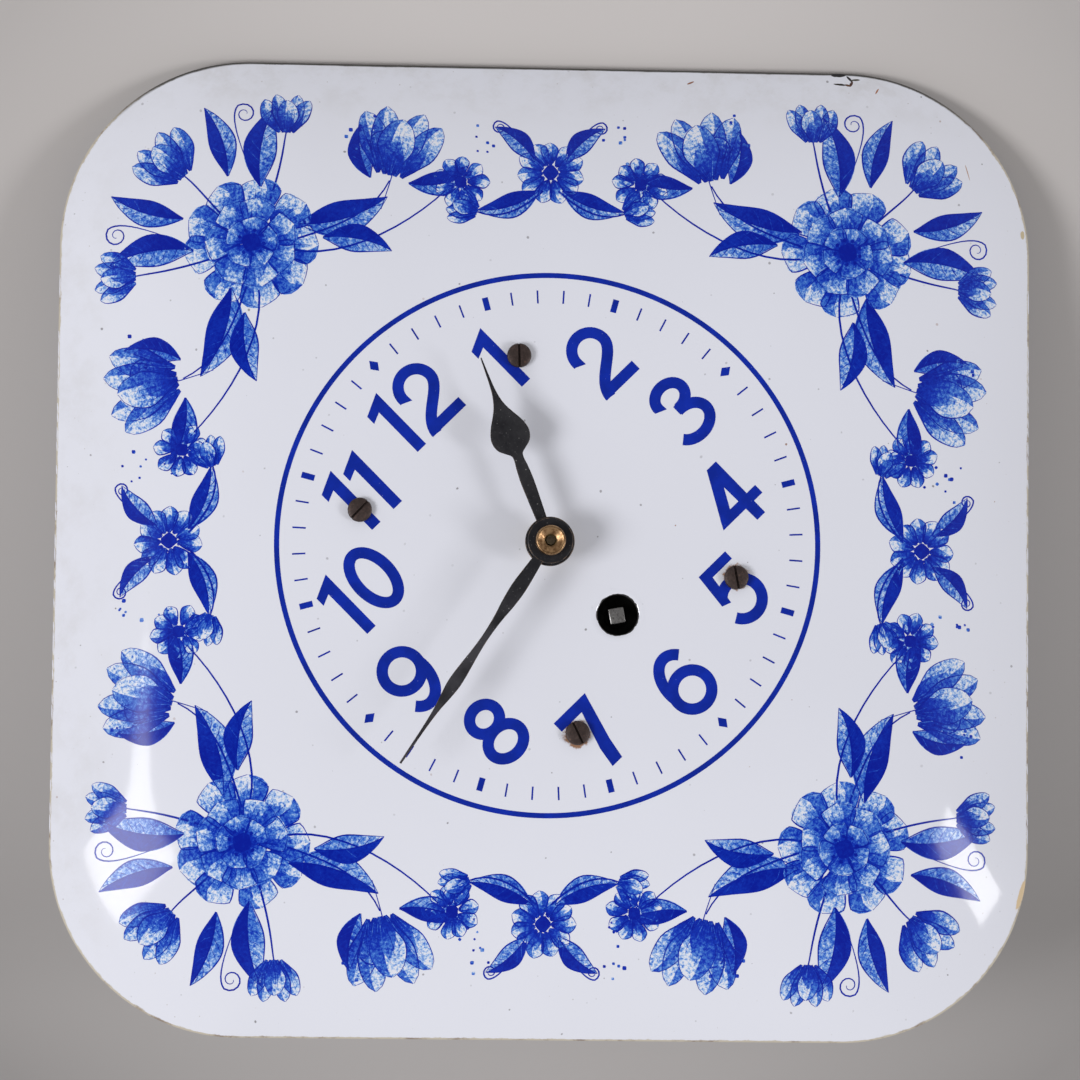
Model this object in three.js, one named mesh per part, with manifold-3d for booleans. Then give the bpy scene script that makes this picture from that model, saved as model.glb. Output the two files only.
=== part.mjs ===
// Enamelled kitchen wall clock, key wound, in millimetres.
// Pieces are drawn as seen from the front: x to 3 o'clock, y to 12 o'clock, z from the wall to the viewer.
// The last group turns the whole clock so that 12 o'clock points up z and the front looks along minus y.
import * as THREE from "three";
import { mergeVertices } from "three/addons/utils/BufferGeometryUtils.js";
import Module from "manifold-3d";

const wasm = await Module();
wasm.setup();

// Dial plate: a rounded square, domed, hung with a corner up
const plateSide = 254;
const plateCorner = 49;
const plateDome = 22;
const domePower = 4;
const plateGauge = 1.4;
const plateLip = 2.5;
const centreHole = 9;
const windingHole = 10.3;
const windingDrop = 25.4;
const screwSpacingX = 57;
const screwSpacingY = 79.6;

// Dial screws
const screwHead = 6.2;
const screwHeadHeight = 1.6;
const screwShank = 3.2;
const slotWidth = 0.9;
const slotDepth = 0.7;
const slotAngles = { upper_right: 47, upper_left: 2, lower_right: 45, lower_left: -88 };

// Depths, from the wall forwards
const coverGauge = 0.6;
const rearSpace = 6;
const frameGauge = 1.5;
const frameSpace = 20;
const motionSpace = 11;

// Movement frame and cover
const frameMargin = 5.4;
const frameCorner = 8;
const pillarSize = 7;
const postSize = 8;
const spigotSize = 3.8;
const spigotReach = 3;
const nutSize = 7;
const nutHeight = 2.6;
const coverGap = 0.6;
const coverEdge = 3;
const coverStudSpacing = 44;
const coverScrewHead = 6;
const coverScrewShank = 3.2;
const hangerWidth = 22;
const hangerRise = 19;
const hangerGauge = 1.2;
const hangerLeg = 14;
const hangerHole = 9;
const hangerNeck = 3.8;

// Train: teeth of each wheel, leaves of the pinion it drives, and their module
const barrelDrive = { teeth: 36, leaves: 6, module: 1 };
const intermediateDrive = { teeth: 36, leaves: 6, module: 0.9 };
const centreDrive = { teeth: 48, leaves: 6, module: 0.56 };
const thirdDrive = { teeth: 45, leaves: 6, module: 0.5333 };
const fourthDrive = { teeth: 48, leaves: 6, module: 0.4533 };
const escapeTeeth = 15;
const escapeTip = 6.5;
const escapeToPallet = 8.5;
const palletToBalance = 12.8;
const palletSwing = 6;
const balanceRadius = 10.5;
const springRadius = 6.7;

// Motion work: both pairs share one centre distance
const minuteDrive = { teeth: 30, leaves: 10, module: 0.6 };
const hourDrive = { teeth: 32, leaves: 8, module: 0.6 };
const motionAngle = 20;

// Winding
const windingSquare = 4.1;
const squareAngle = -34.5;
const windingRecess = 3;
const ratchetTeeth = 18;
const ratchetTip = 7.5;
const clickLift = 12;

// Hands, at the time the clock shows
const hourHandLength = 50;
const hourHandAngle = 24.4;
const hourHandEye = 12.6;
const minuteHandLength = 68;
const minuteHandAngle = 258.3;
const minuteHandEye = 11.6;
const handGauge = 0.8;
const hourHandRise = 7.6;
const handSpacing = 2.5;
const nutDiameter = 7.7;
const handNutHeight = 2.4;

// Clearances
const seat = 0.12;
const running = 0.2;
const endShake = 0.3;

const TURN = 2 * Math.PI;
const degrees = THREE.MathUtils.degToRad;

// Levels of the frame: twentieths of the space between its plates, and elevenths of the space before it
const backRear = coverGauge + rearSpace;
const backFront = backRear + frameGauge;
const frontRear = backFront + frameSpace;
const frontFront = frontRear + frameGauge;
const dialRear = frontFront + motionSpace;
const dialFront = dialRear + plateGauge;
const rimFront = dialFront - plateDome;
const level = (share) => backFront + (frameSpace * share) / 20;
const motion = (share) => frontFront + (motionSpace * share) / 11;

const polar = (radius, angle, centre = { x: 0, y: 0 }) =>
  new THREE.Vector2(centre.x + radius * Math.cos(angle), centre.y + radius * Math.sin(angle));
const bearing = (from, to) => Math.atan2(to.y - from.y, to.x - from.x);
const fromTwelve = (angle) => Math.PI / 2 - degrees(angle);

// Solids, and geometry made closed and facing out

function solidOf(geometry) {
  const bare = new THREE.BufferGeometry().setAttribute("position", geometry.getAttribute("position"));
  bare.setIndex(geometry.index);
  const merged = mergeVertices(bare);
  const corners = [];
  for (let i = 0; i < merged.index.count; i += 3) {
    const face = [0, 1, 2].map((k) => merged.index.getX(i + k));
    if (new Set(face).size === 3) corners.push(face);
  }
  const made = (faces) =>
    new wasm.Manifold(
      new wasm.Mesh({
        numProp: 3,
        vertProperties: new Float32Array(merged.getAttribute("position").array),
        triVerts: new Uint32Array(faces.flat()),
      }),
    );
  const solid = made(corners);
  return solid.volume() > 0 ? solid : made(corners.map(([a, b, c]) => [a, c, b]));
}

function geometryOf(solid) {
  const mesh = solid.getMesh();
  const geometry = new THREE.BufferGeometry();
  geometry.setAttribute("position", new THREE.BufferAttribute(new Float32Array(mesh.vertProperties), 3));
  geometry.setIndex(new THREE.BufferAttribute(new Uint32Array(mesh.triVerts), 1));
  geometry.computeVertexNormals();
  return geometry;
}

const joined = (...parts) => geometryOf(wasm.Manifold.union(parts.map(solidOf)));

const cut = (body, ...tools) =>
  geometryOf(solidOf(body).subtract(wasm.Manifold.union(tools.map(solidOf))));

// Flat and turned pieces

const circle = (radius, steps, x = 0, y = 0) =>
  Array.from({ length: steps }, (_, k) => polar(radius, (TURN * k) / steps, { x, y }));

const hole = (radius, steps, x = 0, y = 0) => new THREE.Path(circle(radius, steps, x, y));

function slab(points, from, to, holes = []) {
  const shape = new THREE.Shape(points);
  shape.holes.push(...holes);
  const depth = to - from;
  return new THREE.ExtrudeGeometry(shape, { depth, bevelEnabled: false }).translate(0, 0, from);
}

const rod = (radius, from, to, steps, x = 0, y = 0) => slab(circle(radius, steps, x, y), from, to);

function turned(profile, steps) {
  const points = profile.map(([radius, height]) => new THREE.Vector2(radius, height));
  return geometryOf(solidOf(new THREE.LatheGeometry(points, steps).rotateX(Math.PI / 2)));
}

// A turned arbor from its steps, each with the radius it has up to a height
function stepped(start, steps, sides) {
  const profile = [[0, start]];
  let height = start;
  for (const [radius, end] of steps) {
    profile.push([radius, height], [radius, end]);
    height = end;
  }
  profile.push([0, height]);
  return turned(profile, sides);
}

// A turned sleeve, closed on itself: outer steps from the back, then the bore from the front
const sleeve = (outer, bore, sides) => turned([...outer, ...bore, outer[0]], sides);

function roundedRectangle(width, height, corner, steps) {
  const points = [];
  const middles = [[1, 1], [-1, 1], [-1, -1], [1, -1]];
  middles.forEach(([sx, sy], quarter) => {
    const centre = { x: sx * (width / 2 - corner), y: sy * (height / 2 - corner) };
    for (let k = 0; k <= steps; k++) {
      points.push(polar(corner, ((quarter + k / steps) * TURN) / 4, centre));
    }
  });
  return points;
}

// A straight bar between two points
function bar(from, to, width) {
  const across = polar(width / 2, bearing(from, to) + Math.PI / 2);
  return [
    new THREE.Vector2(from.x + across.x, from.y + across.y),
    new THREE.Vector2(from.x - across.x, from.y - across.y),
    new THREE.Vector2(to.x - across.x, to.y - across.y),
    new THREE.Vector2(to.x + across.x, to.y + across.y),
  ];
}

// A strip of even width along a line of points
function strip(line, width) {
  const sides = [1, -1].map((side) =>
    line.map((point, k) => {
      const before = line[Math.max(k - 1, 0)];
      const after = line[Math.min(k + 1, line.length - 1)];
      return polar((side * width) / 2, bearing(before, after) + Math.PI / 2, point);
    }),
  );
  return [...sides[0], ...sides[1].reverse()];
}

// Teeth, as shares of the module and of the tooth spacing

const wheelForm = { addendum: 1, dedendum: 1.2, root: 0.6, tips: [0] };
const leafForm = { addendum: 0.75, dedendum: 1.35, root: 0.42, tips: [-0.09, 0.09] };

function toothed(teeth, module, form, phase) {
  const spacing = TURN / teeth;
  const radius = (teeth * module) / 2;
  const root = radius - form.dedendum * module;
  const tip = radius + form.addendum * module;
  return Array.from({ length: teeth }, (_, k) => {
    const middle = phase + k * spacing;
    return [
      polar(root, middle - (form.root * spacing) / 2),
      ...form.tips.map((share) => polar(tip, middle + share * spacing)),
      polar(root, middle + (form.root * spacing) / 2),
    ];
  }).flat();
}

// Slanted teeth, steep on the side they push with, as on a ratchet or an escape wheel
function sawToothed(teeth, tip, root, slope) {
  const spacing = TURN / teeth;
  return Array.from({ length: teeth }, (_, k) => [
    polar(tip, -k * spacing),
    polar(root, -(k + slope) * spacing),
    polar(root, -(k + 0.9) * spacing),
  ]).flat();
}

// Windows between the spokes of a wheel
function windows(count, inner, outer, spoke) {
  return Array.from({ length: count }, (_, k) => {
    const start = (TURN * k) / count;
    const arc = (radius, steps) => {
      const edge = Math.asin(spoke / 2 / radius);
      const sweep = TURN / count - 2 * edge;
      return Array.from({ length: steps + 1 }, (_, step) =>
        polar(radius, start + edge + (sweep * step) / steps),
      );
    };
    return new THREE.Path([...arc(outer, Math.ceil(16 / count)), ...arc(inner, 1).reverse()]);
  });
}

const wheelRadius = ({ teeth, module }) => (teeth * module) / 2;
const leafRadius = ({ leaves, module }) => (leaves * module) / 2;
const centres = (drive) => wheelRadius(drive) + leafRadius(drive);
const wheelTip = (drive) => wheelRadius(drive) + wheelForm.addendum * drive.module;
const wheelRoot = (drive) => wheelRadius(drive) - wheelForm.dedendum * drive.module;

// A spoked wheel with a tooth on the line to the pinion it drives
function wheel(drive, towards, bore, from, to) {
  const rim = wheelRoot(drive) - 1.6;
  const holes = [hole(bore, 8), ...windows(4, 4, rim, 1.8)];
  return slab(toothed(drive.teeth, drive.module, wheelForm, towards), from, to, holes);
}

// Pinion leaves with a gap on the line to the wheel that drives them
function leaves(drive, towards, from, to) {
  const phase = towards + Math.PI / drive.leaves;
  return slab(toothed(drive.leaves, drive.module, leafForm, phase), from, to);
}

// Where the arbors stand

const centreAt = new THREE.Vector2(0, 0);
const barrelAt = new THREE.Vector2(0, -windingDrop);
const barrelToIntermediate = centres(barrelDrive);
const centreToIntermediate = centres(intermediateDrive);
const intermediateY =
  (barrelToIntermediate ** 2 - centreToIntermediate ** 2 - windingDrop ** 2) / (2 * windingDrop);
const intermediateAt = new THREE.Vector2(
  Math.sqrt(centreToIntermediate ** 2 - intermediateY ** 2),
  intermediateY,
);
const thirdAt = polar(centres(centreDrive), degrees(120), centreAt);
const fourthAt = polar(centres(thirdDrive), degrees(150), thirdAt);
const escapeAt = polar(centres(fourthDrive), degrees(60), fourthAt);
const palletAt = polar(escapeToPallet, degrees(-5), escapeAt);
const balanceAt = polar(palletToBalance, degrees(-3), palletAt);
const minuteAt = polar(centres(minuteDrive), degrees(motionAngle), centreAt);
const ratchetRoot = ratchetTip * 0.84;
const clickAt = polar(ratchetTip * 1.77, degrees(218), barrelAt);
const clickTip = polar(ratchetTip + 0.3, degrees(185), barrelAt);

const corners = {
  upper_right: new THREE.Vector2(screwSpacingX / 2, screwSpacingY / 2),
  upper_left: new THREE.Vector2(-screwSpacingX / 2, screwSpacingY / 2),
  lower_right: new THREE.Vector2(screwSpacingX / 2, -screwSpacingY / 2),
  lower_left: new THREE.Vector2(-screwSpacingX / 2, -screwSpacingY / 2),
};

// Dial plate outline and dome

const half = plateSide / 2;
const cornerInset = half - plateCorner;

function outlineRadius(angle) {
  const quarter = TURN / 4;
  const turnedAngle = angle - TURN / 8;
  const fromSide = Math.abs(turnedAngle - quarter * Math.round(turnedAngle / quarter));
  if (Math.tan(fromSide) * half <= cornerInset) return half / Math.cos(fromSide);
  const along = cornerInset * (Math.cos(fromSide) + Math.sin(fromSide));
  return along + Math.sqrt(along ** 2 - 2 * cornerInset ** 2 + plateCorner ** 2);
}

function domeDrop(x, y) {
  const share = Math.hypot(x, y) / outlineRadius(Math.atan2(y, x));
  return plateDome * share ** domePower;
}

// Evenly spaced stations along the sides and round the corners of the outline
function outlineAngles() {
  const angles = [];
  const sideEnd = Math.atan2(cornerInset, half);
  const sideSteps = 7;
  const cornerSteps = 8;
  for (let side = 0; side < 4; side++) {
    const middle = TURN / 8 + (side * TURN) / 4;
    for (let k = 0; k < sideSteps; k++) {
      angles.push(middle + Math.atan(Math.tan(sideEnd) * ((2 * k) / sideSteps - 1)));
    }
    for (let k = 0; k < cornerSteps; k++) {
      const corner = polar(plateCorner, ((k / cornerSteps) * TURN) / 4, { x: cornerInset, y: cornerInset });
      angles.push(middle + Math.atan2(corner.y, corner.x));
    }
  }
  return angles;
}

function dialPlate() {
  const angles = outlineAngles();
  const frontShares = [0, 0.34, 0.52, 0.66, 0.78, 0.87, 0.94, 1];
  const rearShares = [1 - plateGauge / half, 0.9, 0.78, 0.62, 0.42, 0];
  const front = (share) => dialFront - plateDome * share ** domePower;
  const profile = [
    ...frontShares.map((share) => new THREE.Vector2(share, front(share))),
    new THREE.Vector2(1, rimFront - plateLip),
    new THREE.Vector2(rearShares[0], rimFront - plateLip),
    ...rearShares.map((share) => new THREE.Vector2(share, front(share) - plateGauge)),
  ];
  const body = new THREE.LatheGeometry(profile, angles.length);
  const position = body.getAttribute("position");
  for (let i = 0; i < position.count; i++) {
    const station = Math.floor(i / profile.length) % angles.length;
    const share = Math.hypot(position.getX(i), position.getZ(i));
    const point = polar(share * outlineRadius(angles[station]), angles[station]);
    position.setXYZ(i, point.x, point.y, position.getY(i));
  }
  const through = [rimFront, dialFront + 1];
  const screwHoles = Object.values(corners).map(({ x, y }) =>
    rod(screwShank / 2 + running, ...through, 12, x, y),
  );
  return cut(
    body,
    rod(centreHole / 2, ...through, 16),
    rod(windingHole / 2, ...through, 24, barrelAt.x, barrelAt.y),
    ...screwHoles,
  );
}

// Fixings between the dial plate and the movement

const screwDistance = Math.hypot(corners.upper_right.x, corners.upper_right.y);
const dropAt = (distance) => {
  const { x, y } = corners.upper_right.clone().setLength(distance);
  return domeDrop(x, y);
};
const headSeat = dialFront - dropAt(screwDistance - screwHead / 2) + seat;
const postFront = dialRear - dropAt(screwDistance + postSize / 2) - seat;
const postRear = frontFront + seat;
const spigotEnd = frontFront + spigotReach;

function dialScrew(slotAngle) {
  const end = spigotEnd + 2 * endShake;
  const crown = headSeat + screwHeadHeight;
  const body = turned(
    [
      [0, end],
      [screwShank / 2, end],
      [screwShank / 2, headSeat],
      [screwHead / 2, headSeat],
      [screwHead / 2, headSeat + 0.5 * screwHeadHeight],
      [0.82 * (screwHead / 2), headSeat + 0.85 * screwHeadHeight],
      [0.4 * (screwHead / 2), crown],
      [0, crown],
    ],
    16,
  );
  const reach = polar(screwHead, degrees(slotAngle));
  const slot = slab(bar(reach.clone().negate(), reach, slotWidth), crown - slotDepth, crown + 1);
  return cut(body, slot);
}

function dialPost() {
  const bore = screwShank / 2 + running;
  const socket = spigotSize / 2 + seat;
  const outer = [[socket, postRear], [postSize / 2, postRear], [postSize / 2, postFront]];
  const inner = [[bore, postFront], [bore, spigotEnd + endShake], [socket, spigotEnd + endShake]];
  return sleeve(outer, inner, 8);
}

const nutFront = backRear - seat;
const nutRear = nutFront - nutHeight;

function pillar() {
  return stepped(
    nutRear - 0.6,
    [
      [spigotSize / 2, backFront + seat],
      [pillarSize / 2, frontRear - seat],
      [spigotSize / 2, spigotEnd],
    ],
    8,
  );
}

const pillarNut = () =>
  slab(circle(nutSize / Math.sqrt(3), 6), nutRear, nutFront, [hole(spigotSize / 2 + seat, 8)]);

// Movement plates

const frameWidth = screwSpacingX + 2 * frameMargin;
const frameHeight = screwSpacingY + 2 * frameMargin;
const finePivot = 0.6;
const sturdyPivot = 1;
const pivotHoles = (list) => list.map(([at, radius, steps]) => hole(radius, steps, at.x, at.y));
const spigotHoles = Object.values(corners).map((at) => [at, spigotSize / 2 + seat, 8]);
const finePivots = [thirdAt, fourthAt, escapeAt, palletAt].map((at) => [at, finePivot + running, 8]);
const frameOutline = roundedRectangle(frameWidth, frameHeight, frameCorner, 3);
const cupShank = 2.2;
const arborRadius = 3;
const centrePost = 1.2;
const minutePost = 0.9;
const clickPost = 1.5;
const studSpigot = 1.5;
const studAt = [1, -1].map((side) => new THREE.Vector2((side * coverStudSpacing) / 2, 0));
const clickSpringAt = polar(ratchetTip * 2.6, degrees(215), barrelAt);

function frontPlate() {
  const list = [
    ...spigotHoles,
    ...finePivots,
    [centreAt, centrePost + running, 8],
    [barrelAt, arborRadius + running, 12],
    [intermediateAt, sturdyPivot + running, 8],
    [balanceAt, cupShank + seat, 12],
    [minuteAt, minutePost + seat, 8],
    [clickAt, clickPost + seat, 8],
    [clickSpringAt, clickPost + seat, 8],
  ];
  return slab(frameOutline, frontRear, frontFront, pivotHoles(list));
}

function backPlate() {
  const list = [
    ...spigotHoles,
    ...finePivots,
    [centreAt, sturdyPivot + running, 8],
    [barrelAt, arborRadius - 1 + running, 12],
    [intermediateAt, sturdyPivot + running, 8],
    [balanceAt, cupShank + seat, 12],
    [hairspringEnd, studPin + seat, 8],
    ...studAt.map((at) => [at, studSpigot + seat, 8]),
  ];
  const curbSlot = arcBand(balanceAt, springRadius - 1.5, springRadius + 1.5, curbAngle, regulatorSwing + 8, 6);
  return slab(frameOutline, backRear, backFront, [...pivotHoles(list), new THREE.Path(curbSlot)]);
}

// A band between two radii, to each side of an angle
function arcBand(centre, inner, outer, middle, spread, steps) {
  const points = [];
  for (let k = 0; k <= steps; k++) {
    points.push(polar(outer, middle + degrees(spread * ((2 * k) / steps - 1)), centre));
  }
  for (let k = steps; k >= 0; k--) {
    points.push(polar(inner, middle + degrees(spread * ((2 * k) / steps - 1)), centre));
  }
  return points;
}

// Dust cover and hanger

const coverWidth = frameWidth + 2 * (coverGap + coverGauge);
const coverHeight = frameHeight + 2 * (coverGap + coverGauge);
const coverFront = dialRear - domeDrop(coverWidth / 2, coverHeight / 2) - 0.5;
const dimpleDepth = 2.4;
const dimpleRadius = coverScrewHead / 2 + 1.8;
const tailReach = 13;

// A can with a rounded back edge, cut off square in front
function canBody(inset, to) {
  const edge = coverEdge - inset;
  const corner = frameCorner + coverGap + coverGauge - coverEdge;
  const outline = roundedRectangle(coverWidth - 2 * coverEdge, coverHeight - 2 * coverEdge, corner, 3);
  const solid = new THREE.ExtrudeGeometry(new THREE.Shape(outline), {
    depth: coverFront,
    bevelThickness: edge,
    bevelSize: edge,
    bevelSegments: 2,
  }).translate(0, 0, inset + edge);
  const box = new THREE.BoxGeometry(2 * coverWidth, 2 * coverHeight, 4 * coverEdge);
  return cut(solid, box.translate(0, 0, to + 2 * coverEdge));
}

function dustCover() {
  const shell = cut(canBody(0, coverFront), canBody(coverGauge, coverFront + 1));
  const bosses = studAt.map(({ x, y }) =>
    rod(dimpleRadius + coverGauge, 0.5 * coverGauge, dimpleDepth + coverGauge, 16, x, y),
  );
  const dimples = studAt.map(({ x, y }) => rod(dimpleRadius, -1, dimpleDepth, 16, x, y));
  const screwHoles = studAt.map(({ x, y }) =>
    rod(coverScrewShank / 2 + seat, 0, dimpleDepth + 2, 12, x, y),
  );
  const slot = arcBand(balanceAt, tailReach - 2.4, tailReach + 0.8, degrees(-90), regulatorSwing + 4, 6);
  return cut(joined(shell, ...bosses), ...dimples, ...screwHoles, slab(slot, -1, 2 * coverGauge));
}

const studRear = dimpleDepth + coverGauge + seat;

function coverStud() {
  const bore = coverScrewShank / 2 + seat;
  return turned(
    [
      [bore, studRear],
      [3, studRear],
      [3, backRear - seat],
      [studSpigot, backRear - seat],
      [studSpigot, backFront],
      [0, backFront],
      [0, backRear],
      [bore, backRear],
      [bore, studRear],
    ],
    12,
  );
}

function coverScrew() {
  const headFront = dimpleDepth - seat;
  const headRear = headFront - 1.7;
  const body = stepped(
    headRear,
    [
      [coverScrewHead / 2, headFront],
      [coverScrewShank / 2, backRear - endShake],
    ],
    16,
  );
  const slot = slab(bar({ x: -coverScrewHead, y: 0 }, { x: coverScrewHead, y: 0 }, 1), headRear - 1, headRear + 0.7);
  return cut(body, slot);
}

// The hanger leg lies on top of the cover, its tab stands up behind with a keyhole
function hanger() {
  const legRear = coverHeight / 2 + seat;
  const rear = 0.2;
  const keyhole = legRear + hangerRise * 0.42;
  const leg = new THREE.BoxGeometry(hangerWidth, hangerGauge, hangerLeg);
  leg.translate(0, legRear + hangerGauge / 2, rear + hangerLeg / 2);
  const tabOutline = roundedRectangle(hangerWidth, hangerRise, 4, 3).map(
    (point) => new THREE.Vector2(point.x, Math.max(point.y, -hangerRise / 2) + legRear + hangerRise / 2),
  );
  const tab = slab(tabOutline, rear, rear + hangerGauge);
  const foot = new THREE.BoxGeometry(hangerWidth, 5, hangerGauge);
  foot.translate(0, legRear + 2.5, rear + hangerGauge / 2);
  const entry = rod(hangerHole / 2, -1, 4, 20, 0, keyhole);
  const neck = slab(
    bar({ x: 0, y: keyhole }, { x: 0, y: keyhole + hangerHole * 0.85 }, hangerNeck),
    -1,
    4,
  );
  return cut(joined(leg, tab, foot), entry, neck);
}

// Mainspring barrel

const drumRadius = wheelRoot(barrelDrive) - 0.9;
const drumGauge = 0.8;
const coreRadius = 5;
const barrelBore = arborRadius + running;

function mainspringBarrel() {
  const towards = bearing(barrelAt, intermediateAt);
  const base = slab(
    toothed(barrelDrive.teeth, barrelDrive.module, wheelForm, towards),
    level(1),
    level(2.4),
    [hole(barrelBore, 12)],
  );
  const wall = slab(circle(drumRadius, 32), level(2.3), level(13), [hole(drumRadius - drumGauge, 32)]);
  return joined(base, wall);
}

const barrelCover = () =>
  slab(circle(drumRadius, 32), level(13) + seat, level(13.8), [hole(barrelBore, 12)]);

function mainspring() {
  const turns = 6;
  const steps = turns * 12;
  const inner = coreRadius + 0.7;
  const outer = drumRadius - drumGauge - 0.5;
  const line = Array.from({ length: steps + 1 }, (_, k) =>
    polar(inner + ((outer - inner) * k) / steps, (TURN * turns * k) / steps),
  );
  return slab(strip(line, 0.55), level(2.4) + endShake, level(12.4));
}

// Winding arbor with its square, and the ratchet

const squareEnd = dialFront - windingRecess;
const ratchetRear = motion(0.6);
const ratchetFront = motion(2);

function windingArbor() {
  const squareHalf = windingSquare / 2;
  const squareReach = squareHalf * Math.SQRT2;
  const seatRadius = Math.min(squareReach, arborRadius) - seat;
  const shaft = stepped(
    backRear + seat,
    [
      [arborRadius - 1, level(0.4)],
      [arborRadius, level(2.4) + endShake],
      [coreRadius, level(12.4)],
      [arborRadius, motion(0.4)],
      [seatRadius, ratchetFront + endShake],
    ],
    12,
  );
  const square = Array.from({ length: 4 }, (_, k) =>
    polar(squareReach, degrees(squareAngle + 45) + (TURN * k) / 4),
  );
  return joined(shaft, slab(square, ratchetFront, squareEnd));
}

const ratchetWheel = () =>
  slab(
    sawToothed(ratchetTeeth, ratchetTip, ratchetRoot, 0.8),
    ratchetRear,
    ratchetFront,
    [hole((windingSquare / 2) * Math.SQRT2 + seat, 12)],
  );

// The click, drawn lifted clear of the teeth, with its screw and leaf spring
function click() {
  const beside = bearing(clickAt, clickTip);
  const eye = 2.6;
  const outline = [
    polar(eye, beside - 1.2, clickAt),
    clickTip,
    polar(1.3, beside + 1.5, clickTip),
    polar(eye, beside + 1.2, clickAt),
  ];
  const body = joined(
    slab(circle(eye, 16, clickAt.x, clickAt.y), ratchetRear, ratchetFront),
    slab(outline, ratchetRear, ratchetFront),
  );
  return cut(body, rod(clickPost + running, ratchetRear - 1, ratchetFront + 1, 12, clickAt.x, clickAt.y));
}

function clickScrew() {
  const head = stepped(
    frontRear,
    [
      [clickPost, ratchetFront + seat],
      [2.5, ratchetFront + seat + 1],
    ],
    12,
  );
  return head.translate(clickAt.x, clickAt.y, 0);
}

function clickSpring() {
  const beside = bearing(clickAt, clickTip) + Math.PI / 2;
  const free = polar(2.4 + 8 * Math.sin(degrees(clickLift)), beside, clickTip.clone().lerp(clickAt, 0.35));
  const bend = polar(6.5, beside, clickAt);
  const curve = new THREE.QuadraticBezierCurve(clickSpringAt, bend, free);
  const blade = slab(strip(curve.getPoints(8), 0.6), ratchetRear, ratchetFront);
  const foot = stepped(frontRear, [[clickPost, frontFront + seat], [2.2, ratchetFront]], 8);
  return joined(blade, foot.translate(clickSpringAt.x, clickSpringAt.y, 0));
}

// Going train: each arbor with its pinion is one piece, each wheel another

function trainArbor(pivot, body, wheelLevel, flange, pinion) {
  const shaft = stepped(
    backRear + seat,
    [
      [pivot, level(0.3)],
      [body, level(wheelLevel - 0.9)],
      [flange, level(wheelLevel) - seat],
      [body, level(19.7)],
      [pivot, frontFront - seat],
    ],
    8,
  );
  return joined(shaft, pinion);
}

const sturdyBody = 1.3;
const centreBody = 1.6;
const fineBody = 0.85;
const escapeBody = 0.7;
const arborEnd = dialFront + hourHandRise + handSpacing + handGauge + 0.75 * handNutHeight;

function centreArbor() {
  const shaft = stepped(
    backRear + seat,
    [
      [sturdyPivot, level(0.3)],
      [centreBody, level(16.7)],
      [3, level(17.6) - seat],
      [centreBody, level(19.7)],
      [centrePost, arborEnd],
    ],
    8,
  );
  const pinion = leaves(intermediateDrive, bearing(centreAt, intermediateAt), level(14.4), level(16.6));
  return joined(shaft, pinion);
}

const escapeWheel = () =>
  slab(
    sawToothed(escapeTeeth, escapeTip, 0.7 * escapeTip, 0.5),
    level(13),
    level(13.8),
    [hole(escapeBody + seat, 8)],
  );

// Pallet lever: two arms with pins beside the escape wheel, and a fork towards the balance
function palletLever() {
  const pinRadius = 0.4;
  const track = escapeTip + pinRadius + escapeToPallet * Math.sin(degrees(palletSwing)) + 0.15;
  const origin = { x: 0, y: 0 };
  const escape = escapeAt.clone().sub(palletAt);
  const pins = [50, -50].map((spread) => polar(track, bearing(escape, origin) + degrees(spread), escape));
  const forkward = bearing(palletAt, balanceAt);
  const forkReach = palletToBalance - staffRadius - 0.5;
  const body = joined(
    stepped(
      backRear + seat,
      [
        [finePivot, level(0.3)],
        [fineBody, level(19.7)],
        [finePivot, frontFront - seat],
      ],
      8,
    ),
    rod(1.8, level(14.4), level(15.2), 12),
    slab(bar(origin, polar(forkReach, forkward), 2), level(14.4), level(15.2)),
    ...pins.map((pin) => slab(bar(origin, pin, 1.2), level(14.4), level(15.2))),
    ...pins.map((pin) => rod(pinRadius, level(12.9), level(15.2), 8, pin.x, pin.y)),
  );
  const mouth = bar(polar(forkReach - 1.4, forkward), polar(forkReach + 1, forkward), 0.9);
  return cut(body, slab(mouth, level(14), level(15.6)));
}

// Balance with its hairspring and regulator

const staffRadius = 0.9;
const staffCone = 1.6;
const cupReach = 0.9;
const cupDepth = 1.1;
const collet = 1.9;
const studPin = 0.75;
const curbAngle = degrees(90);
const regulatorSwing = 22;
const hairspringEnd = polar(springRadius, curbAngle + degrees(54), balanceAt);
const staffRear = backFront + cupReach - cupDepth + 0.25;
const staffFront = frontRear - cupReach + cupDepth - 0.25;

function balanceStaff() {
  const shaft = turned(
    [
      [0, staffRear],
      [staffRadius, staffRear + staffCone],
      [staffRadius, level(2.9)],
      [collet, level(2.9)],
      [collet, level(3.9)],
      [staffRadius, level(3.9)],
      [staffRadius, level(5)],
      [2.4, level(5)],
      [2.4, level(6) - seat],
      [staffRadius, level(6) - seat],
      [staffRadius, level(15.6)],
      [2.1, level(15.6)],
      [2.1, level(16.3)],
      [staffRadius, level(16.3)],
      [staffRadius, staffFront - staffCone],
      [0, staffFront],
    ],
    12,
  );
  const towards = polar(1.5, bearing(balanceAt, palletAt));
  return joined(shaft, rod(0.35, level(15.4), level(16), 8, towards.x, towards.y));
}

const balanceWheel = () =>
  slab(
    circle(balanceRadius, 32),
    level(6),
    level(7.4),
    [hole(staffRadius + seat, 12), ...windows(2, 3, balanceRadius - 1.6, 2.4)],
  );

const ringGauge = 0.9;
const ringFront = backRear - seat;
const ringRear = ringFront - ringGauge;
const neckRadius = 2.9;

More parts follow.
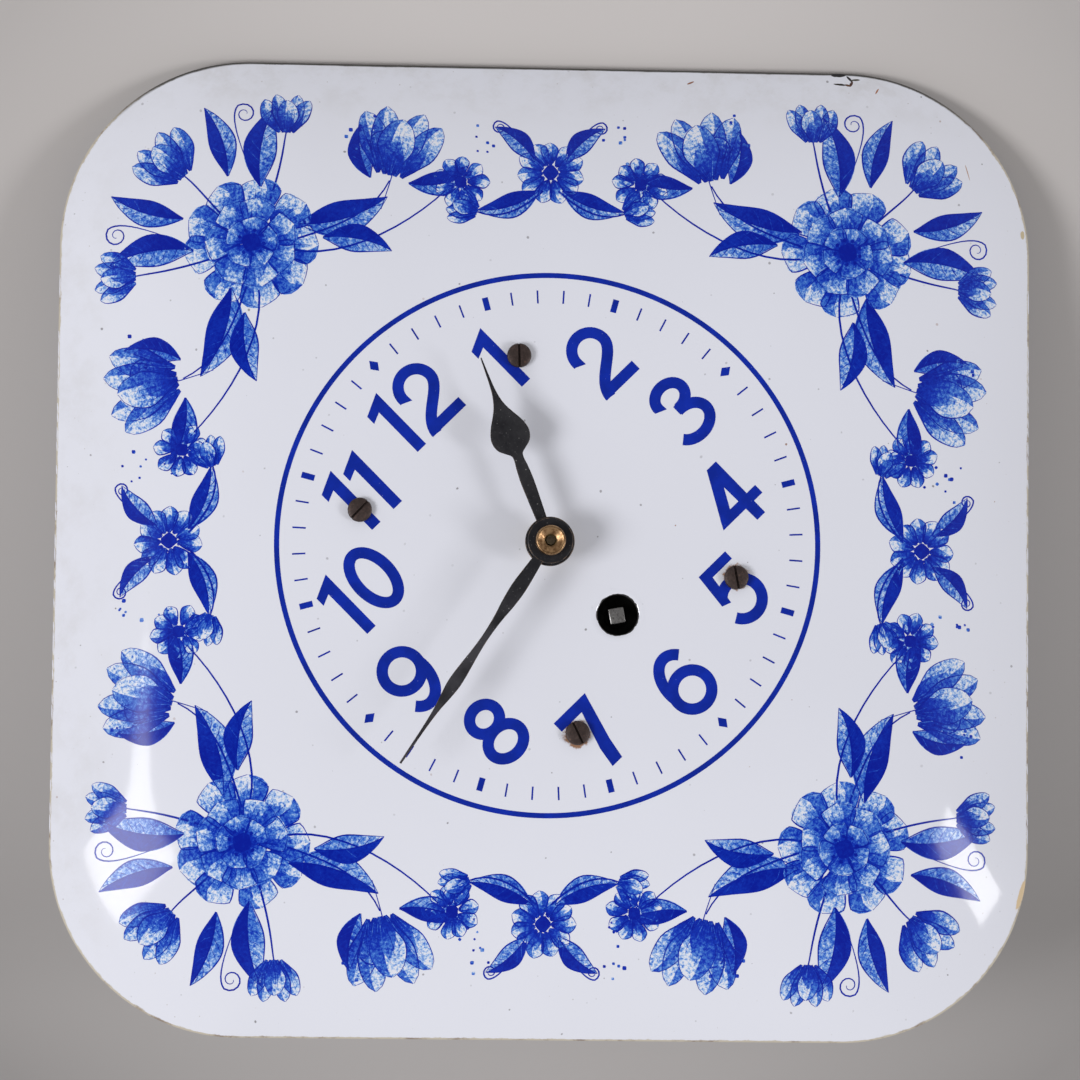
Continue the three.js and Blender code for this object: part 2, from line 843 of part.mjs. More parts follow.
// Cup screws: the staff's points run in the cones of their inner ends
function cupBack() {
  return turned(
    [
      [0, ringRear - running - 1],
      [3.7, ringRear - running - 1],
      [3.7, ringRear - running],
      [neckRadius, ringRear - running],
      [neckRadius, ringFront],
      [cupShank, ringFront],
      [cupShank, backFront + cupReach],
      [cupDepth, backFront + cupReach],
      [0, backFront + cupReach - cupDepth],
    ],
    12,
  );
}

function cupFront() {
  return turned(
    [
      [0, frontFront + seat + 1.2],
      [3, frontFront + seat + 1.2],
      [3, frontFront + seat],
      [cupShank, frontFront + seat],
      [cupShank, frontRear - cupReach],
      [cupDepth, frontRear - cupReach],
      [0, frontRear - cupReach + cupDepth],
    ],
    12,
  );
}

// A spiral that ends in a round arc, so that the regulator's pins slide along it
function hairspring() {
  const turns = 4;
  const stepsPerTurn = 14;
  const inner = collet + 0.4;
  const arcStart = curbAngle - degrees(40);
  const line = [];
  for (let k = 0; k <= turns * stepsPerTurn; k++) {
    const share = k / (turns * stepsPerTurn);
    const radius = inner + (springRadius - inner) * share ** 1.4;
    line.push(polar(radius, arcStart - TURN * turns * (1 - share)));
  }
  for (let k = 1; k <= 5; k++) line.push(polar(springRadius, arcStart + degrees((82 * k) / 5)));
  return slab(strip(line, 0.3), level(3), level(3.8));
}

const hairspringStud = () => stepped(backRear + seat, [[studPin, level(4.2)]], 8);

function regulatorLever() {
  const origin = { x: 0, y: 0 };
  const ring = slab(circle(4.6, 20), ringRear, ringFront);
  const arm = slab(bar(origin, polar(springRadius + 1.1, curbAngle), 2), ringRear, ringFront);
  const tail = slab(bar(origin, polar(tailReach, -curbAngle), 2.2), ringRear, ringFront);
  const pins = [0.6, -0.6].map((offset) => {
    const at = polar(springRadius + offset, curbAngle);
    return rod(0.3, ringRear, level(4), 8, at.x, at.y);
  });
  const bore = rod(neckRadius + running, ringRear - 1, ringFront + 1, 12);
  return joined(cut(joined(ring, arm, tail), bore), ...pins);
}

// Motion work: the cannon pinion carries the minute hand, the hour wheel's pipe the hour hand

const hourRear = dialFront + hourHandRise;
const hourFront = hourRear + handGauge;
const minuteRear = hourRear + handSpacing;
const minuteFront = minuteRear + handGauge;
const cannonBore = centrePost + running;
const cannonPipe = cannonBore + 0.85;
const cannonSeat = cannonBore + 0.45;
const hourBore = cannonPipe + running;
const hourPipe = hourBore + 0.85;
const hourSeat = hourBore + 0.4;

function cannonPinion() {
  const pipe = stepped(
    motion(3.2),
    [
      [cannonPipe, minuteRear - seat],
      [cannonSeat, minuteFront],
    ],
    16,
  );
  const pinion = leaves(minuteDrive, bearing(centreAt, minuteAt), motion(3.2), motion(6.2));
  return cut(joined(pipe, pinion), rod(cannonBore, motion(3), minuteFront + 1, 8));
}

function minuteWheel() {
  const towards = bearing(minuteAt, centreAt);
  const disc = slab(toothed(minuteDrive.teeth, minuteDrive.module, wheelForm, towards), motion(4), motion(5.2));
  const pinion = leaves(hourDrive, towards, motion(5), motion(9));
  const bore = rod(minutePost + running, motion(3), motion(10), 8);
  return cut(joined(disc, pinion), bore);
}

const minuteWheelPost = () =>
  stepped(
    frontRear,
    [
      [minutePost, frontFront + seat],
      [2.2, motion(4) - endShake],
      [minutePost, motion(9.6)],
    ],
    8,
  );

function hourWheel() {
  const towards = bearing(centreAt, minuteAt);
  const disc = slab(toothed(hourDrive.teeth, hourDrive.module, wheelForm, towards), motion(6.8), motion(8));
  const pipe = stepped(
    motion(6.8),
    [
      [hourPipe, hourRear - seat],
      [hourSeat, hourFront + 0.5],
    ],
    16,
  );
  return cut(joined(disc, pipe), rod(hourBore, motion(6), hourFront + 2, 16));
}

// Hands: half widths at shares of the length, smoothed into one outline

const hourStations = [
  [0.08, 1.2], [0.24, 1.5], [0.34, 1.7], [0.43, 1.42], [0.482, 1.25], [0.505, 2.3], [0.53, 4.1],
  [0.565, 4.9], [0.605, 4.75], [0.66, 3.7], [0.72, 2.45], [0.78, 1.5], [0.86, 0.85], [1, 0.2],
];
const minuteStations = [
  [0.06, 1.25], [0.13, 1.65], [0.215, 2.05], [0.31, 1.65], [0.4, 1.2], [0.46, 1.1], [0.54, 1.45],
  [0.61, 1.95], [0.67, 2.2], [0.73, 1.8], [0.79, 1.15], [0.86, 0.72], [1, 0.28],
];

function hand(length, stations, eyeSize, bore, rear, angle) {
  const knots = stations.map(([share, width]) => new THREE.Vector2(share * length, width));
  const side = new THREE.SplineCurve(knots).getPoints(2 * (stations.length - 1));
  const below = side.map((point) => new THREE.Vector2(point.x, -point.y)).reverse();
  const blade = slab([...side, ...below], rear, rear + handGauge);
  const eye = rod(eyeSize / 2, rear, rear + handGauge, 24);
  const made = cut(joined(blade, eye), rod(bore, rear - 1, rear + handGauge + 1, 16));
  return made.rotateZ(fromTwelve(angle));
}

// The nut's front is dished down to the arbor's end
function handNut() {
  const rear = minuteFront + seat;
  const front = rear + handNutHeight;
  const radius = nutDiameter / 2;
  const bore = centrePost + running;
  const outer = [[bore, rear], [radius, rear], [radius, front - 0.5], [0.88 * radius, front]];
  const dish = [[0.8 * radius, front - 0.15], [0.55 * radius, front - 0.9], [bore, front - 1.1]];
  return sleeve(outer, dish, 20);
}

// The pieces, with their finishes as colour, metalness and roughness

const enamel = [0xeceef2, 0, 0.2];
const blackened = [0x1c1c1e, 0.3, 0.5];
const brass = [0xb8923c, 1, 0.35];
const steel = [0x9a9da2, 1, 0.35];
const rusted = [0x5a4634, 0.7, 0.6];
const blued = [0x32405e, 1, 0.35];
const zinc = [0x8f9396, 0.9, 0.5];

const clock = new THREE.Group();

function add(name, geometry, [color, metalness, roughness], at = centreAt) {
  const material = new THREE.MeshStandardMaterial({ color, metalness, roughness });
  const mesh = new THREE.Mesh(geometry, material);
  mesh.name = name;
  mesh.position.set(at.x, at.y, 0);
  clock.add(mesh);
}

add("dial_plate", dialPlate(), enamel);
for (const [corner, at] of Object.entries(corners)) {
  add(`dial_screw_${corner}`, dialScrew(slotAngles[corner]), rusted, at);
  add(`dial_post_${corner}`, dialPost(), brass, at);
  add(`pillar_${corner}`, pillar(), steel, at);
  add(`pillar_nut_${corner}`, pillarNut(), brass, at);
}
add("front_plate", frontPlate(), brass);
add("back_plate", backPlate(), brass);

add("dust_cover", dustCover(), zinc);
add("hanger", hanger(), zinc);
["right", "left"].forEach((side, k) => {
  add(`cover_stud_${side}`, coverStud(), brass, studAt[k]);
  add(`cover_screw_${side}`, coverScrew(), steel, studAt[k]);
});

add("mainspring_barrel", mainspringBarrel(), brass, barrelAt);
add("barrel_cover", barrelCover(), brass, barrelAt);
add("mainspring", mainspring(), blued, barrelAt);
add("winding_arbor", windingArbor(), steel, barrelAt);
add("ratchet_wheel", ratchetWheel(), steel, barrelAt);
add("click", click(), steel);
add("click_screw", clickScrew(), steel);
add("click_spring", clickSpring(), brass);

const intermediatePinion = leaves(barrelDrive, bearing(intermediateAt, barrelAt), level(0.5), level(3));
add("intermediate_arbor", trainArbor(sturdyPivot, sturdyBody, 15, 3, intermediatePinion), steel, intermediateAt);
add(
  "intermediate_wheel",
  wheel(intermediateDrive, bearing(intermediateAt, centreAt), sturdyBody + seat, level(15), level(16)),
  brass,
  intermediateAt,
);
add("centre_arbor", centreArbor(), steel);
add(
  "centre_wheel",
  wheel(centreDrive, bearing(centreAt, thirdAt), centreBody + seat, level(17.6), level(18.6)),
  brass,
);
const thirdPinion = leaves(centreDrive, bearing(thirdAt, centreAt), level(17), level(19.2));
add("third_arbor", trainArbor(finePivot, fineBody, 10, 2.6, thirdPinion), steel, thirdAt);
add(
  "third_wheel",
  wheel(thirdDrive, bearing(thirdAt, fourthAt), fineBody + seat, level(10), level(11)),
  brass,
  thirdAt,
);
const fourthPinion = leaves(thirdDrive, bearing(fourthAt, thirdAt), level(9.4), level(11.6));
add("fourth_arbor", trainArbor(finePivot, fineBody, 5, 2.4, fourthPinion), steel, fourthAt);
add(
  "fourth_wheel",
  wheel(fourthDrive, bearing(fourthAt, escapeAt), fineBody + seat, level(5), level(6)),
  brass,
  fourthAt,
);
const escapePinion = leaves(fourthDrive, bearing(escapeAt, fourthAt), level(4.4), level(6.6));
add("escape_arbor", trainArbor(finePivot, escapeBody, 13, 2, escapePinion), steel, escapeAt);
add("escape_wheel", escapeWheel(), brass, escapeAt);
add("pallet_lever", palletLever(), steel, palletAt);

add("balance_wheel", balanceWheel(), brass, balanceAt);
add("balance_staff", balanceStaff(), steel, balanceAt);
add("balance_cup_back", cupBack(), steel, balanceAt);
add("balance_cup_front", cupFront(), steel, balanceAt);
add("hairspring", hairspring(), blued, balanceAt);
add("hairspring_stud", hairspringStud(), brass, hairspringEnd);
add("regulator_lever", regulatorLever(), steel, balanceAt);

add("cannon_pinion", cannonPinion(), steel);
add("minute_wheel", minuteWheel(), brass, minuteAt);
add("minute_wheel_post", minuteWheelPost(), steel, minuteAt);
add("hour_wheel", hourWheel(), brass);
const hourBlade = hand(hourHandLength, hourStations, hourHandEye, hourSeat + seat, hourRear, hourHandAngle);
add("hour_hand", hourBlade, blackened);
const minuteBlade = hand(
  minuteHandLength, minuteStations, minuteHandEye, cannonSeat + seat, minuteRear, minuteHandAngle,
);
add("minute_hand", minuteBlade, blackened);
add("hand_nut", handNut(), brass);

clock.rotation.x = Math.PI / 2;
const wallClock = new THREE.Group();
wallClock.name = "wall_clock";
wallClock.add(clock);

export default wallClock;
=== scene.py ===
"""Looks of the enamelled kitchen wall clock: dial, print, painted flowers, hands, fittings and stage.

Pieces are drawn in millimetres as seen from the front: x to 3 o'clock, y to 12 o'clock, z from the wall to
the viewer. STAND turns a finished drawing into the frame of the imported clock.
"""

import math
import random

import bmesh
import bpy
from bpy.props import FloatProperty, FloatVectorProperty, IntProperty, PointerProperty
from mathutils import Matrix, Vector


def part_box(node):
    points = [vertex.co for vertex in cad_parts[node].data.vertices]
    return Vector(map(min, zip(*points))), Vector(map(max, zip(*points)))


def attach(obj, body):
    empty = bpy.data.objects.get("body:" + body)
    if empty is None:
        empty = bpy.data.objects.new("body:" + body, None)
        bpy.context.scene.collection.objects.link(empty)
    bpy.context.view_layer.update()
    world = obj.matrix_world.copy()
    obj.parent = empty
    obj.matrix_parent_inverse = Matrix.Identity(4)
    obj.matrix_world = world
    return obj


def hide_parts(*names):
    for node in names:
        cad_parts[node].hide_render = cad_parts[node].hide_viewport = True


bl_info = {
    "name": "Enamelled kitchen clock",
    "version": (1, 0, 0),
    "blender": (4, 5, 0),
    "location": "View3D > Sidebar > Clock",
    "description": "Dresses the packed wall clock with enamel, print, flowers, hands and fittings",
    "category": "Object",
}

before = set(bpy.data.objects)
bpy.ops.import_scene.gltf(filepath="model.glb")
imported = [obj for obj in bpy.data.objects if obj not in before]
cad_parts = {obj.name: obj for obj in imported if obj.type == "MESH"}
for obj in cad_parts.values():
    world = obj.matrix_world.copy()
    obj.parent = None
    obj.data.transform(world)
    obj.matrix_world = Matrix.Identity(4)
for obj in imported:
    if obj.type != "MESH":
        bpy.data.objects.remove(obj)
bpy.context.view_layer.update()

MM = 0.001
STAND = Matrix.Rotation(math.radians(90), 4, "X") @ Matrix.Scale(MM, 4)
ROOT_HALF = math.sqrt(0.5)
EIGHTH = math.radians(45)
CREASE = math.radians(38)
# Corners closer than this, in millimetres, are one
MERGE = 1e-4
CORNERS = ("upper_right", "upper_left", "lower_right", "lower_left")


# Settings


def number(name, description, default, **limits):
    """A number that a user may change."""
    return FloatProperty(name=name, description=description, default=default, **limits)


def length(name, description, millimetres):
    """A size, kept in metres."""
    return number(name, description, millimetres * MM, min=0, precision=5, subtype="DISTANCE", unit="LENGTH")


def tilt(name, description, degrees):
    """An angle, kept in radians."""
    return number(name, description, math.radians(degrees), subtype="ANGLE", unit="ROTATION")


def whole(name, description, default, least=0):
    """A whole number."""
    return IntProperty(name=name, description=description, default=default, min=least)


def colour(name, description, rgb):
    """A colour."""
    return FloatVectorProperty(name=name, description=description, default=rgb, min=0, max=1, size=3,
                               subtype="COLOR")


class DialSettings(bpy.types.PropertyGroup):
    """Shape and enamel of the dial plate."""

    corner: length("Corner", "Radius of the plate's corners", 49)
    dome: length("Dome", "Drop from the middle of the dial to its rim", 22)
    power: number("Dome power", "How late the dome falls away", 4, min=2)
    gauge: length("Gauge", "Thickness of the enamelled sheet", 1.4)
    winding_hole: length("Winding hole", "Diameter of the hole for the key", 10.3)
    hole_roll: length("Hole roll", "Width of the rounded edge of the winding hole", 1.5)
    winding_drop: length("Winding drop", "Distance of the winding hole below the middle", 25.4)
    rings: whole("Rings", "Rings of faces from the middle to the rim", 84, 8)
    white: colour("White", "Colour of the enamel", (0.745, 0.755, 0.835))
    ground: colour("Ground coat", "Colour of the dark enamel on the back", (0.055, 0.06, 0.072))
    gloss: number("Gloss", "How strongly the enamel mirrors the lamps", 0.22, min=0)


class PrintSettings(bpy.types.PropertyGroup):
    """Minute track and numbers."""

    ring_radius: length("Ring radius", "Radius of the printed ring", 69.4)
    ring_width: length("Ring width", "Width of the printed ring", 1.35)
    tick_radius: length("Tick radius", "Radius of the middle of the minute marks", 63.8)
    tick_length: length("Tick length", "Length of the minute marks", 3.4)
    tick_width: length("Tick width", "Width of the thin minute marks", 0.42)
    bar_width: length("Bar width", "Width of the hour bars", 1.55)
    numeral_radius: length("Numeral radius", "Radius of the middle of the numbers", 49)
    numeral_stroke: length("Numeral stroke", "Width of the numbers' strokes", 2.92)
    film: length("Film", "Height of the print on the enamel", 0.03)
    cobalt: colour("Cobalt", "Colour of the print", (0.0053, 0.0245, 0.349))


class FlowerSettings(bpy.types.PropertyGroup):
    """Painted flower sprays between the ring and the rim."""

    seed: whole("Seed", "Changes the small irregularities of the brush", 7)
    line: length("Line", "Width of the drawn outlines", 0.34)
    film: length("Film", "Height of the lowest paint on the enamel", 0.016)
    pale: colour("Pale", "Colour of the thinnest wash", (0.40, 0.56, 0.82))
    middle: colour("Middle", "Colour of a full wash", (0.055, 0.19, 0.64))
    strong: colour("Strong", "Colour of a second wash", (0.004, 0.035, 0.46))
    dark: colour("Dark", "Colour of the densest line", (0.0008, 0.010, 0.31))


class HandSettings(bpy.types.PropertyGroup):
    """Hands and the nut that holds them."""

    gauge: length("Gauge", "Thickness of the hands", 0.8)
    hour_eye: length("Hour eye", "Diameter of the hour hand's round end", 12.6)
    minute_eye: length("Minute eye", "Diameter of the minute hand's round end", 11.6)
    edge: length("Edge", "Rounding of the hands' edges", 0.12)
    black: colour("Black", "Colour of the hands' paint", (0.0115, 0.0112, 0.0142))
    brass: colour("Brass", "Colour of the hand nut", (0.41, 0.255, 0.135))


class FittingSettings(bpy.types.PropertyGroup):
    """Screws, cover and hanger."""

    head: length("Screw head", "Diameter of the dial screws' heads", 6.2)
    slot: length("Slot", "Width of the dial screws' slots", 0.58)
    cover_head: length("Cover screw head", "Diameter of the cover screws' heads", 6)
    cover_gauge: length("Cover gauge", "Thickness of the cover's sheet", 0.6)
    cover_edge: length("Cover edge", "Rounding of the cover's back edge", 3)
    cover_corner: length("Cover corner", "Rounding of the cover's upright edges", 9.2)
    hanger_gauge: length("Hanger gauge", "Thickness of the hanger", 1.2)
    rust: colour("Rust", "Colour of the oxidised screws", (0.046, 0.031, 0.028))
    steel: colour("Steel", "Colour of bright steel", (0.50, 0.50, 0.52))
    zinc: colour("Zinc", "Colour of the cover's plated sheet", (0.47, 0.48, 0.49))
    gear_brass: colour("Gear brass", "Colour of the movement's brass", (0.66, 0.49, 0.20))


class StageSettings(bpy.types.PropertyGroup):
    """Backdrop, lamps and camera."""

    wall: colour("Wall", "Colour of the surface behind the clock", (0.545, 0.516, 0.510))
    lean: tilt("Lean", "Lean of the surface behind the clock", 15)
    fill: number("Fill", "Strength of the light from all round", 0.53, min=0)
    left: number("Left lamp", "Power of the soft lamp on the left", 26.8, min=0, unit="POWER")
    right: number("Right lamp", "Power of the soft lamp on the right", 14.8, min=0, unit="POWER")
    rear: number("Rear lamp", "Power of the soft lamp behind", 20.0, min=0, unit="POWER")
    # Painted shade on the wall: darker towards the corners and from top to bottom
    corner_fall: number("Corner fall", "Darkening of the surface towards the corners", 0.15, min=0)
    foot_fall: number("Foot fall", "Darkening of the surface from top to bottom", 0.24, min=0)
    lens: number("Lens", "Focal length of the camera", 151.6, min=10)
    roll: tilt("Roll", "Turn of the camera about its line of sight", 44.34)


def dial():
    return bpy.context.scene.clock_dial


def printing():
    return bpy.context.scene.clock_print


def flowers():
    return bpy.context.scene.clock_flowers


def hands():
    return bpy.context.scene.clock_hands


def fittings():
    return bpy.context.scene.clock_fittings


def stage():
    return bpy.context.scene.clock_stage


# Making pieces


class Extent:
    """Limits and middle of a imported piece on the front's axes, in millimetres."""

    def __init__(self, node):
        low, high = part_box(node)
        self.left, self.foot, self.rear = low.x / MM, low.z / MM, -high.y / MM
        self.right, self.top, self.front = high.x / MM, high.z / MM, -low.y / MM
        self.x = (self.left + self.right) / 2
        self.y = (self.foot + self.top) / 2


PLATE = Extent("dial_plate")


class Dome:
    """The front of the dial plate, in millimetres."""

    def __init__(self):
        self.corner = dial().corner / MM
        self.depth = dial().dome / MM
        self.power = dial().power
        self.half = (PLATE.right - self.corner) * ROOT_HALF + self.corner
        self.inner = self.half - self.corner

    def share(self, x, y):
        """How far a place lies from the middle, 0, to the rim, 1."""
        across = abs(x - y) * ROOT_HALF
        along = abs(x + y) * ROOT_HALF
        large, small = max(across, along), min(across, along)
        if small * self.half <= large * self.inner:
            return large / self.half
        total = large + small
        square = large * large + small * small
        spread = (self.inner * total) ** 2 - square * (2 * self.inner ** 2 - self.corner ** 2)
        return square / (self.inner * total + math.sqrt(max(spread, 0)))

    def level(self, share):
        """Height of the front at a share of the way to the rim."""
        return PLATE.front - self.depth * share ** self.power

    def height(self, x, y):
        return self.level(self.share(x, y))

    def rim(self, angle):
        """Distance from the middle to the rim at an angle from 3 o'clock."""
        return 1 / self.share(math.cos(angle), math.sin(angle))


def make_piece(bm, name, finishes, body, stands_for=()):
    """Makes the drawing an object that rides on a body of the clock."""
    bmesh.ops.transform(bm, matrix=STAND, verts=bm.verts)
    mesh = bpy.data.meshes.new(name)
    bm.to_mesh(mesh)
    bm.free()
    for finish in finishes:
        mesh.materials.append(finish)
    smooth(mesh)
    piece = bpy.data.objects.new(name, mesh)
    bpy.context.scene.collection.objects.link(piece)
    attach(piece, body)
    if stands_for:
        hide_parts(*stands_for)
    return piece


def smooth(mesh):
    mesh.shade_smooth()
    mesh.set_sharp_from_angle(angle=CREASE)


def settle(piece):
    """Keeps what the piece's modifiers make as its own mesh."""
    shaped = piece.evaluated_get(bpy.context.evaluated_depsgraph_get())
    piece.data = bpy.data.meshes.new_from_object(shaped)
    piece.modifiers.clear()
    smooth(piece.data)


def thicken(piece, millimetres, back_material=0, offset=-1):
    wall = piece.modifiers.new("Thickness", "SOLIDIFY")
    wall.thickness = millimetres * MM
    wall.offset = offset
    wall.material_offset = back_material
    wall.material_offset_rim = back_material


def make_film(bm, name, finish, depth):
    """A film of print or paint that reaches down into the enamel."""
    piece = make_piece(bm, name, [finish], "case")
    thicken(piece, depth)
    settle(piece)


def round_edges(piece, millimetres, material=-1):
    edge = piece.modifiers.new("Edge", "BEVEL")
    edge.width = millimetres * MM
    edge.segments = 2
    edge.limit_method = "ANGLE"
    edge.angle_limit = math.radians(40)
    edge.material = material


def carve(piece, cutter, material=0):
    """Takes the cutter's drawing out of a piece, and keeps the result as the piece's own mesh."""
    for face in cutter.faces:
        face.material_index = material
    bmesh.ops.transform(cutter, matrix=STAND, verts=cutter.verts)
    mesh = bpy.data.meshes.new("cutter")
    cutter.to_mesh(mesh)
    cutter.free()
    tool = bpy.data.objects.new("cutter", mesh)
    bpy.context.scene.collection.objects.link(tool)
    cut = piece.modifiers.new("Cut", "BOOLEAN")
    cut.operation = "DIFFERENCE"
    cut.object = tool
    settle(piece)
    bpy.data.objects.remove(tool)
    bpy.data.meshes.remove(mesh)


def drill(bm, x, y, radius, low, high, segments=48):
    """A round cutter from one height to another."""
    middle = Matrix.Translation((x, y, (low + high) / 2))
    bmesh.ops.create_cone(bm, cap_ends=True, segments=segments, radius1=radius, radius2=radius,
                          depth=high - low, matrix=middle)


def only(items, kind):
    """The items of one kind: corners, edges or faces."""
    return [item for item in items if isinstance(item, kind)]


def raise_faces(bm, faces, height):
    """Draws flat faces up into a closed cutter."""
    raised = bmesh.ops.extrude_face_region(bm, geom=faces, use_keep_orig=True)["geom"]
    bmesh.ops.translate(bm, vec=(0, 0, height), verts=only(raised, bmesh.types.BMVert))
    bmesh.ops.recalc_face_normals(bm, faces=bm.faces)


def turn(bm, profile, steps=48, x=0, y=0, z=0):
    """Spins a profile of radius and height about an axis through x, y."""
    verts = [bm.verts.new((x + radius, y, z + height)) for radius, height in profile]
    edges = [bm.edges.new(pair) for pair in zip(verts, verts[1:])]
    before = set(bm.faces)
    bmesh.ops.spin(bm, geom=verts + edges, cent=(x, y, 0), axis=(0, 0, 1), angle=math.tau, steps=steps,
                   use_merge=True)
    bmesh.ops.remove_doubles(bm, verts=bm.verts, dist=MERGE)
    made = [face for face in bm.faces if face not in before]
    bmesh.ops.recalc_face_normals(bm, faces=made)
    return made


def sheet(bm, columns, rows, place):
    """A grid of faces, each corner put where place says for shares along and across of 0 to 1."""
    made = bmesh.ops.create_grid(bm, x_segments=columns, y_segments=rows, size=1)["verts"]
    for vert in made:
        vert.co = place((vert.co.x + 1) / 2, (vert.co.y + 1) / 2)
    return made


class Line:
    """A smooth path on the flat, with the direction to its left."""

    def __init__(self, points):
        self.points = [Vector(point) for point in points]
        self.closed = (self.points[0] - self.points[-1]).length < MERGE
        last = len(self.points) - 1
        self.sides = []
        for index in range(last + 1):
            ahead = self.points[min(index + 1, last)]
            behind = self.points[max(index - 1, 0)]
            if self.closed and index in (0, last):
                ahead, behind = self.points[1], self.points[last - 1]
            run = (ahead - behind).normalized()
            self.sides.append(Vector((-run.y, run.x)))

    def at(self, share):
        """Place and left side at a share of the path."""
        spot = min(max(share, 0), 1) * (len(self.points) - 1)
        index = min(int(spot), len(self.points) - 2)
        part = spot - index
        point = self.points[index].lerp(self.points[index + 1], part)
        side = self.sides[index].lerp(self.sides[index + 1], part)
        return point, side.normalized()


def arc(x, y, across, up, start, end, count=28):
    """Points on an ellipse from one angle to another, in degrees."""
    angles = [math.radians(start + (end - start) * k / count) for k in range(count + 1)]
    return [(x + across * math.cos(angle), y + up * math.sin(angle)) for angle in angles]


def bezier(first, pull, push, last, count=16):
    """Points on a cubic curve."""
    points = []
    for k in range(count + 1):
        share = k / count
        rest = 1 - share
        weights = (rest ** 3, 3 * rest * rest * share, 3 * rest * share * share, share ** 3)
        corners = tuple(zip(weights, (first, pull, push, last)))
        points.append(tuple(sum(weight * corner[axis] for weight, corner in corners) for axis in (0, 1)))
    return points


def between(stations, share):
    """Value at a share along rising stations, eased through each of them."""
    count = len(stations)
    index = 0
    while index < count - 2 and share > stations[index + 1][0]:
        index += 1
    (start, low), (end, high) = stations[index], stations[index + 1]
    part = min(max((share - start) / (end - start), 0), 1)
    before = stations[max(index - 1, 0)]
    after = stations[min(index + 2, count - 1)]
    slope_in = (high - before[1]) / (end - before[0]) * (end - start)
    slope_out = (after[1] - low) / (after[0] - start) * (end - start)
    square, cube = part * part, part ** 3
    return (low * (2 * cube - 3 * square + 1) + slope_in * (cube - 2 * square + part)
            + high * (3 * square - 2 * cube) + slope_out * (cube - square))


def beside(spine, shape, share):
    """A line to the left of a spine, at a share of the half widths that a shape gives along it."""
    last = len(spine) - 1
    return [(x, y + share * between(shape, k / last)) for k, (x, y) in enumerate(spine)]


# Finishes


